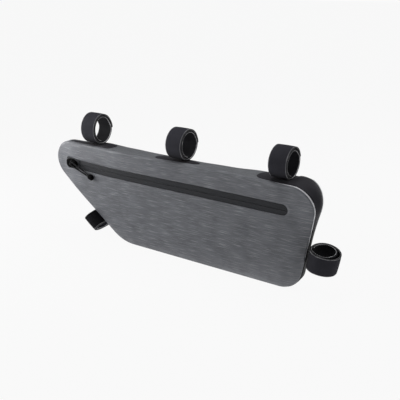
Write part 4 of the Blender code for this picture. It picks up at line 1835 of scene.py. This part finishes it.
@dataclass
class Seams:
    """The welded seams between the panels and the gusset, and the weld at the seat corner, whose
    light colour is a painted highlight.
    """

    shape: BagShape
    mark_step: float = 0.0034
    welt_radius: float = 0.00045
    weld_radius: float = 0.00050
    weld_turn: float = math.radians(68)
    weld_before: float = 0.0200
    weld_after: float = 0.0480
    weld_growing: float = 0.3
    weld_fading: float = 0.5
    weld_end_radius: float = 0.0001

    def _route(self, marks: Sequence[float], side: Side, sunk: float) -> list[Vector]:
        """Points along a seam, a little under the outline."""
        route = []
        for mark in marks:
            point, normal = self.shape.outline.at(mark)
            inner = point - normal * sunk
            depth = self.shape.seam_depth(point.x, point.y, side)
            route.append(Vector((inner.x, side.value * depth, inner.y)))
        return route

    def welt(self, side: Side) -> bpy.types.Object:
        """Builds the thin welt that runs round in the seam's groove."""
        marks = self.shape.outline.stations(self.mark_step)
        route = self._route(marks, side, self.welt_radius)
        name = "seam_welt_" + side.name.lower()
        return Meshes.cord(name, route, [self.welt_radius] * len(route), 8, loop=True)

    def weld(self, side: Side) -> bpy.types.Object:
        """Builds the raised weld round the seat corner, thinning out at both ends; its light colour
        is a painted highlight.
        """
        start, length, _fillet = self.shape.outline.arcs[0]
        first = start - self.weld_before
        last = start + length + self.weld_after
        count = 90
        marks = [first + (last - first) * index / count for index in range(count + 1)]
        radii = []
        for index in range(count + 1):
            share = index / count
            full = smooth(share / self.weld_growing) * smooth((1 - share) / self.weld_fading)
            radii.append(self.weld_end_radius + self.weld_radius * full)
        route = []
        for mark in marks:
            point, normal = self.shape.outline.at(mark)
            lean = self.shape.rim_radius * (1 - math.sin(self.weld_turn))
            inner = point - normal * lean
            depth = self.shape.edge_depth(point.x, point.y, side)
            depth -= self.shape.rim_radius * (1 - math.cos(self.weld_turn))
            route.append(Vector((inner.x, side.value * depth, inner.y)))
        return Meshes.cord("corner_weld_highlight_" + side.name.lower(), route, radii, 8)

    def make(self, cloth: bpy.types.Material, light: bpy.types.Material) -> None:
        """Builds and dresses the welts of both seams, and the welds that carry the painted
        highlight.
        """
        for side in Side:
            node = "piping_" + side.name.lower()
            fit(self.welt(side), cloth, "gusset_cloth", node)
            # The light material here is a painted highlight on the seam.
            fit(self.weld(side), light, "piping")


@dataclass(frozen=True)
class Wrap:
    """How one strap is wrapped. Turns are counted from the bag, to the front where side is 1.

    The strap's free end lifts from lift_turn on, and lies down again from settled_turn on. Where
    the hook mask is turned onto the outer face, that face is darkened as painted shade for the
    shadow under the bag.
    """

    name: str
    node: str
    height_share: float
    width_share: float
    lift_turn: float
    lift: float
    seat: float = 0.0012
    side: int = 1
    first_turn: float = -0.96
    last_turn: float = 0.76
    settled_turn: float = 9.0
    hook_out: bool = False
    layer_gap: float = 0.0009


@dataclass
class Straps:
    """The five hook-and-loop straps, wrapped round where the bicycle's tubes go."""

    shape: BagShape
    width: float = 0.0200
    wall: float = 0.0015
    touch_gap: float = 0.0003
    loop_height: float = 0.0348
    loop_width: float = 0.0344
    inset_turns: float = 0.12
    inset_lead: float = 0.02
    laid_down: float = 0.85
    laying_turns: float = 0.2
    inner_until: float = -0.10
    inner_turns: float = 0.20
    # Painted shadow where each strap meets the bag, through the hook mask:
    root_full: float = 0.07
    root_turns: float = 0.18
    top_pitch: float = 0.1262
    last_setback: float = 0.0464
    seat_rise: float = 0.0447
    seat_forward: float = 0.0034
    down_rise: float = 0.0455
    steps_a_turn: int = 120
    wander: float = 0.0004
    curl: float = 0.00025
    outer_worn: tuple[float, float] = (0.45, 0.35)
    inner_worn: tuple[float, float] = (0.10, 1.0)
    top_wraps: tuple[Wrap, ...] = (
        Wrap(
            "top_strap_nose",
            "strap_top_front",
            height_share=1.06,
            width_share=1.00,
            lift_turn=0.66,
            lift=0.0013,
        ),
        Wrap(
            "top_strap_middle",
            "strap_top_middle",
            height_share=1.02,
            width_share=1.04,
            lift_turn=0.68,
            lift=0.0010,
            seat=0.0010,
        ),
        Wrap(
            "top_strap_seat",
            "strap_top_rear",
            height_share=0.97,
            width_share=1.0,
            lift_turn=0.45,
            lift=0.0014,
            last_turn=0.72,
            settled_turn=0.7,
        ),
    )
    seat_wrap: Wrap = Wrap(
        "seat_tube_strap",
        "strap_seat_tube",
        height_share=0.83,
        width_share=1.04,
        lift_turn=0.26,
        lift=0.0036,
        side=-1,
        first_turn=-1.03,
        last_turn=0.90,
        settled_turn=0.54,
        layer_gap=0.0002,
    )
    down_wrap: Wrap = Wrap(
        "down_tube_strap",
        "strap_down_tube",
        height_share=0.60,
        width_share=1.24,
        lift_turn=0.68,
        lift=0.0008,
        seat=0.0,
        first_turn=-0.95,
        last_turn=0.75,
        # Painted shade under the bag: the outer face is darkened.
        hook_out=True,
    )

    def top_places(self) -> list[float]:
        """X of the three top straps, from the nose on."""
        last = self.shape.outline.corners[1].x - self.last_setback
        return [last - self.top_pitch * (2 - index) for index in range(3)]

    def _profile(self, wrap: Wrap) -> list[tuple[float, float]]:
        """The strap's outer face as height over the outline and place sideways, turn by turn."""
        pitch = self.wall + wrap.layer_gap
        half_height = self.loop_height * wrap.height_share / 2
        half_width = self.loop_width * wrap.width_share / 2
        centre = wrap.seat + self.touch_gap + half_height
        turns = wrap.last_turn - wrap.first_turn
        count = math.ceil(self.steps_a_turn * turns)
        profile = []
        for step in range(count + 1):
            turn = wrap.first_turn + turns * step / count
            uncovered = 1 - wrap.last_turn - self.inset_lead
            inset = pitch * smooth((-turn - uncovered) / self.inset_turns)
            crest = min(wrap.last_turn, wrap.settled_turn)
            lift = wrap.lift * smooth((turn - wrap.lift_turn) / (crest - wrap.lift_turn))
            lift *= 1 - self.laid_down * smooth((turn - wrap.settled_turn) / self.laying_turns)
            angle = turn * 2 * math.pi
            upward = centre - math.cos(angle) * (half_height - inset + lift)
            sideways = -wrap.side * math.sin(angle) * (half_width - inset + lift)
            profile.append((upward, sideways))
        return profile

    def _section(self) -> list[tuple[float, float, float, float]]:
        """The strap's cut: place across, depth under the outer face, edge mask and hook mask. The
        hook mask darkens the inner face, the hook side, and the cut sides, where it is painted
        shade between the layers.
        """
        half = self.width / 2
        wall = self.wall
        face = ((0.0, 0.0), (0.5, 0.0), (0.925, 0.0), (0.95, 1.0), (0.975, 1.0))
        shares = [(-share, edge) for share, edge in reversed(face[1:])] + list(face)
        # The cut sides take the hook mask: painted shade between the layers.
        corner = (
            (0.995, 0.06, 1.0),
            (1.0, 0.16, 0.0),
            (1.0, 0.66, 0.0),
            (1.0, 0.78, 1.0),
            (0.995, 0.94, 1.0),
        )
        section = [(half * share, 0.0, edge, 0.0) for share, edge in shares]
        section += [(half * share, wall * depth, edge, 1.0) for share, depth, edge in corner]
        section += [(half * share, wall, edge, 1.0) for share, edge in reversed(shares)]
        section += [
            (-half * share, wall * depth, edge, 1.0) for share, depth, edge in reversed(corner)
        ]
        return section

    def strap(self, wrap: Wrap, foot: Vector, outward: Vector, middle_y: float) -> bpy.types.Object:
        """Builds one wrapped strap.

        Args:
            wrap: how it is wrapped.
            foot: the outline's point that it stands on, in X and Z.
            outward: the outline's normal there.
            middle_y: Y of the loop's middle.

        Returns:
            The strap.
        """
        profile = self._profile(wrap)
        section = self._section()
        up = Vector((outward.x, 0.0, outward.y))
        along = Vector((outward.y, 0.0, -outward.x))
        base = Vector((foot.x, middle_y, foot.y))
        centre = sum(height for height, _side in profile) / len(profile)
        seed = foot.x * 50
        rows = []
        marks = []
        edges = []
        hook_and_shade_masks = []
        walked = 0.0
        turns = wrap.last_turn - wrap.first_turn
        for index, (height, side) in enumerate(profile):
            turn = wrap.first_turn + turns * index / (len(profile) - 1)
            inner = 1 - smooth((turn - self.inner_until) / self.inner_turns)
            outer_corner = self.outer_worn[0] * (1 - inner) + self.inner_worn[0] * inner
            inner_corner = self.outer_worn[1] * (1 - inner) + self.inner_worn[1] * inner
            edges.append(
                [
                    mask * (outer_corner if depth < self.wall / 2 else inner_corner)
                    for _across, depth, mask, _hook in section
                ]
            )
            # Painted shadow: near its root on the bag the strap is darkened through the hook mask.
            root = 1 - smooth((abs(turn - round(turn)) - self.root_full) / self.root_turns)
            # On the down-tube strap the mask is turned outward: painted shade under the bag.
            faces = [1 - part[3] if wrap.hook_out else part[3] for part in section]
            hook_and_shade_masks.append([max(face, root) for face in faces])
            before = profile[max(index - 1, 0)]
            after = profile[min(index + 1, len(profile) - 1)]
            travel = Vector((after[0] - before[0], after[1] - before[1])).normalized()
            normal = Vector((travel.y, -travel.x))
            if normal.dot(Vector((height - centre, side))) < 0:
                normal = -normal
            if index:
                walked += math.dist(profile[index - 1], profile[index])
            sway = self.wander * ripple(walked, seed, 0.0, 40.0)
            out = up * normal.x + Vector((0.0, normal.y, 0.0))
            row = []
            for across, depth, _edge, _hook in section:
                bow = self.curl * (across * 2 / self.width) ** 2
                spot = base + up * height + Vector((0.0, side, 0.0))
                row.append(spot + along * (across + sway) - out * (depth + bow))
            rows.append(row)
            marks.append(walked)
        around = [0.0]
        for first, second in zip(section, section[1:] + section[:1]):
            around.append(around[-1] + math.dist(first[:2], second[:2]))
        return Meshes.grid(wrap.name, rows, around, marks, edges, hook_and_shade_masks, ring=True, caps=True)

    def make(self, webbing: bpy.types.Material) -> None:
        """Builds and dresses the five straps."""
        outline = self.shape.outline
        for wrap, x in zip(self.top_wraps, self.top_places()):
            point, normal = outline.at(outline.walk_to_top(x))
            fit(self.strap(wrap, point, normal, 0.0), webbing, "strap_web", wrap.node)
        nose, seat_top, rear_foot, front_foot = outline.corners
        rising = (seat_top - rear_foot).normalized()
        foot = rear_foot + rising * self.seat_rise
        item = self.strap(self.seat_wrap, foot, Vector((rising.y, -rising.x)), -self.seat_forward)
        fit(item, webbing, "strap_web", self.seat_wrap.node)
        slanting = (nose - front_foot).normalized()
        foot = front_foot + slanting * self.down_rise
        item = self.strap(self.down_wrap, foot, Vector((-slanting.y, slanting.x)), 0.0)
        fit(item, webbing, "strap_web", self.down_wrap.node)


@dataclass
class Studio:
    """The pale floor, the soft lights and the camera of the photograph."""

    place: tuple[float, float, float] = (0.3563, -0.5585, 0.3190)
    right: tuple[float, float, float] = (0.8362, 0.5484, 0.0)
    up: tuple[float, float, float] = (-0.1890, 0.2882, 0.9387)
    forward: tuple[float, float, float] = (-0.5148, 0.7850, -0.3447)
    lens: float = 56.7458
    sensor: float = 36.0
    backdrop: float = 0.948
    glow_share: float = 0.985
    floor_cast: float = 1.12
    world_cast: float = 0.03

    def camera(self) -> None:
        """Sets the camera where the photograph's was."""
        data = bpy.data.cameras.new("camera")
        data.sensor_width = self.sensor
        data.sensor_fit = "HORIZONTAL"
        data.lens = self.lens
        data.clip_start = 0.01
        item = bpy.data.objects.new("camera", data)
        axes = Matrix((self.right, self.up, tuple(-value for value in self.forward)))
        item.matrix_world = Matrix.Translation(self.place) @ axes.transposed().to_4x4()
        bpy.context.scene.collection.objects.link(item)
        bpy.context.scene.camera = item

    def light(
        self, name: str, place: Sequence[float], aim: Sequence[float], size: float, power: float
    ) -> None:
        """Adds one soft square light.

        Args:
            name: the light's name.
            place: where it stands.
            aim: the point that it faces.
            size: the length of its side.
            power: its power in watts.
        """
        data = bpy.data.lights.new(name, "AREA")
        data.shape = "SQUARE"
        data.size = size
        data.energy = power
        item = bpy.data.objects.new(name, data)
        item.location = place
        direction = Vector(aim) - Vector(place)
        item.rotation_euler = direction.to_track_quat("-Z", "Y").to_euler()
        bpy.context.scene.collection.objects.link(item)

    def _seen_or_cast(self, nodes: Nodes, cast: float) -> Socket:
        """Lets a glowing surface look pale to the eye and cast less light on the object.

        Args:
            nodes: the nodes of the surface.
            cast: the strength for all but the rays that are seen directly.

        Returns:
            The strength.
        """
        path = nodes.add("LightPath", "Is Camera Ray", {})
        return nodes.add("Mix", 0, {0: path, 2: cast, 3: self.backdrop}, data_type="FLOAT")

    def floor(self) -> None:
        """Adds a wide pale floor that shows only a faint shadow."""
        work = bmesh.new()
        bmesh.ops.create_grid(work, x_segments=4, y_segments=4, size=6.0)
        item = Meshes.object_from("floor", work)
        material = bpy.data.materials.new("pale floor")
        material.use_nodes = True
        nodes = Nodes(material.node_tree)
        shader = material.node_tree.nodes["Principled BSDF"]
        nodes.feed(shader.inputs["Base Color"], (0.9, 0.9, 0.9, 1.0))
        nodes.feed(shader.inputs["Roughness"], 0.9)
        nodes.feed(shader.inputs["Specular IOR Level"], 0.0)
        strength = self._seen_or_cast(nodes, self.floor_cast)
        glow = nodes.add(
            "Emission", "Emission", {"Color": (1.0, 1.0, 1.0, 1.0), "Strength": strength}
        )
        both = {"Fac": self.glow_share, 1: shader.outputs["BSDF"], 2: glow}
        surface = material.node_tree.nodes["Material Output"].inputs["Surface"]
        nodes.feed(surface, nodes.add("MixShader", "Shader", both))
        item.data.materials.append(material)

    def world(self) -> None:
        """Sets an even, nearly white surrounding."""
        world = bpy.data.worlds.new("pale surrounding")
        world.use_nodes = True
        nodes = Nodes(world.node_tree)
        background = world.node_tree.nodes["Background"]
        nodes.feed(background.inputs["Color"], (1.0, 1.0, 1.0, 1.0))
        nodes.feed(background.inputs["Strength"], self._seen_or_cast(nodes, self.world_cast))
        bpy.context.scene.world = world

    def make(self) -> None:
        """Sets up the whole studio."""
        bpy.context.scene.view_settings.view_transform = "Standard"
        self.camera()
        self.floor()
        self.world()
        self.light("key light", (-0.42, -0.36, 0.46), (-0.12, 0.0, 0.08), 0.30, 0.9)
        self.light("side light", (-0.52, -0.16, 0.20), (-0.20, 0.0, 0.08), 0.22, 2.5)
        self.light("top light", (0.08, 0.10, 0.80), (0.05, 0.0, 0.08), 0.50, 4.9)
        self.light("back light", (0.40, 0.60, 0.35), (0.0, 0.0, 0.08), 0.40, 1.6)


PANEL_CLOTH = HeatherFinish(
    name="grey heather cloth",
    dark=(0.0592, 0.0622, 0.0705),
    light=(0.0995, 0.1036, 0.1168),
    streak=(0.292, 0.298, 0.319),
)
GUSSET_CLOTH = HeatherFinish(
    name="grey gusset cloth",
    dark=(0.083, 0.087, 0.095),
    light=(0.120, 0.125, 0.134),
    streak=(0.215, 0.220, 0.231),
    streak_share=0.4,
)
PATCH_CLOTH = PlainClothFinish(
    name="black coated cloth",
    base=(0.0105, 0.0098, 0.0130),
    lifted=(0.0210, 0.0200, 0.0250),
    edge=(0.036, 0.034, 0.042),
    roughness=0.62,
    sheen=0.04,
    ribs_across=1600.0,
    ribs_along=1600.0,
    rib_height=0.00008,
    edge_share=0.35,
    gloss=0.10,
    # Darkens the end piece's painted shadow near the foot.
    hook_shade=0.10,
)
ZIP_TAPE = PlainClothFinish(
    name="matt zip tape",
    base=(0.0042, 0.0048, 0.0066),
    lifted=(0.012, 0.0133, 0.0172),
    edge=(0.018, 0.019, 0.023),
    roughness=0.66,
    sheen=0.05,
    ribs_across=900.0,
    ribs_along=1400.0,
    rib_height=0.00010,
    edge_share=0.3,
)
WEBBING = PlainClothFinish(
    name="hook-and-loop webbing",
    base=(0.0122, 0.0120, 0.0156),
    lifted=(0.0314, 0.0312, 0.0394),
    edge=(0.720, 0.720, 0.740),
    roughness=0.85,
    sheen=0.0,
    ribs_across=1700.0,
    ribs_along=900.0,
    rib_height=0.00020,
    edge_share=0.8,
    gloss=0.12,
    # Darkens the hook side, and the painted shade at the roots, the sides and the down-tube strap.
    hook_shade=0.42,
)
BRAID = PlainClothFinish(
    name="braided cord",
    base=(0.003, 0.003, 0.004),
    lifted=(0.014, 0.014, 0.016),
    edge=(0.040, 0.040, 0.042),
    roughness=0.7,
    sheen=0.02,
    ribs_across=1100.0,
    ribs_along=1100.0,
    rib_height=0.00025,
    edge_share=0.0,
    gloss=0.12,
)
ENAMEL = MouldedFinish("black enamel", (0.0008, 0.0008, 0.001), 0.30, 0.00001, 0.03)
RUBBER = MouldedFinish("moulded rubber", (0.001, 0.001, 0.0013), 0.40, 0.00003, 0.03)
# Painted highlight: the weld's light colour stands for light caught by the seam at the seat corner.
WELD_HIGHLIGHT = MouldedFinish("painted weld highlight", (0.680, 0.690, 0.720), 0.35, 0.00002, 0.50)


def main() -> None:
    """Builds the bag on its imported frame, piece by piece."""
    logging.basicConfig(level=logging.INFO, format="%(name)s: %(message)s")
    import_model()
    studio = Studio()
    studio.make()
    shape = BagShape()
    finishes = Finishes()
    zip_fastener = Zip(shape)
    straps = Straps(shape)
    panel_cloth = finishes.heather(PANEL_CLOTH)
    gusset_cloth = finishes.heather(GUSSET_CLOTH)
    Panel(shape, Side.FRONT, "zipped_panel", "front_panel").make(panel_cloth, zip_fastener)
    Panel(shape, Side.REAR, "plain_panel", "rear_panel").make(panel_cloth)
    Gusset(shape).make(gusset_cloth, finishes.plain_cloth(PATCH_CLOTH), straps)
    Seams(shape).make(gusset_cloth, finishes.moulded(WELD_HIGHLIGHT))
    zip_fastener.make(
        finishes.plain_cloth(ZIP_TAPE),
        finishes.moulded(ENAMEL),
        finishes.plain_cloth(BRAID),
        finishes.moulded(RUBBER),
    )
    straps.make(finishes.plain_cloth(WEBBING))


if __name__ == "__main__":
    main()
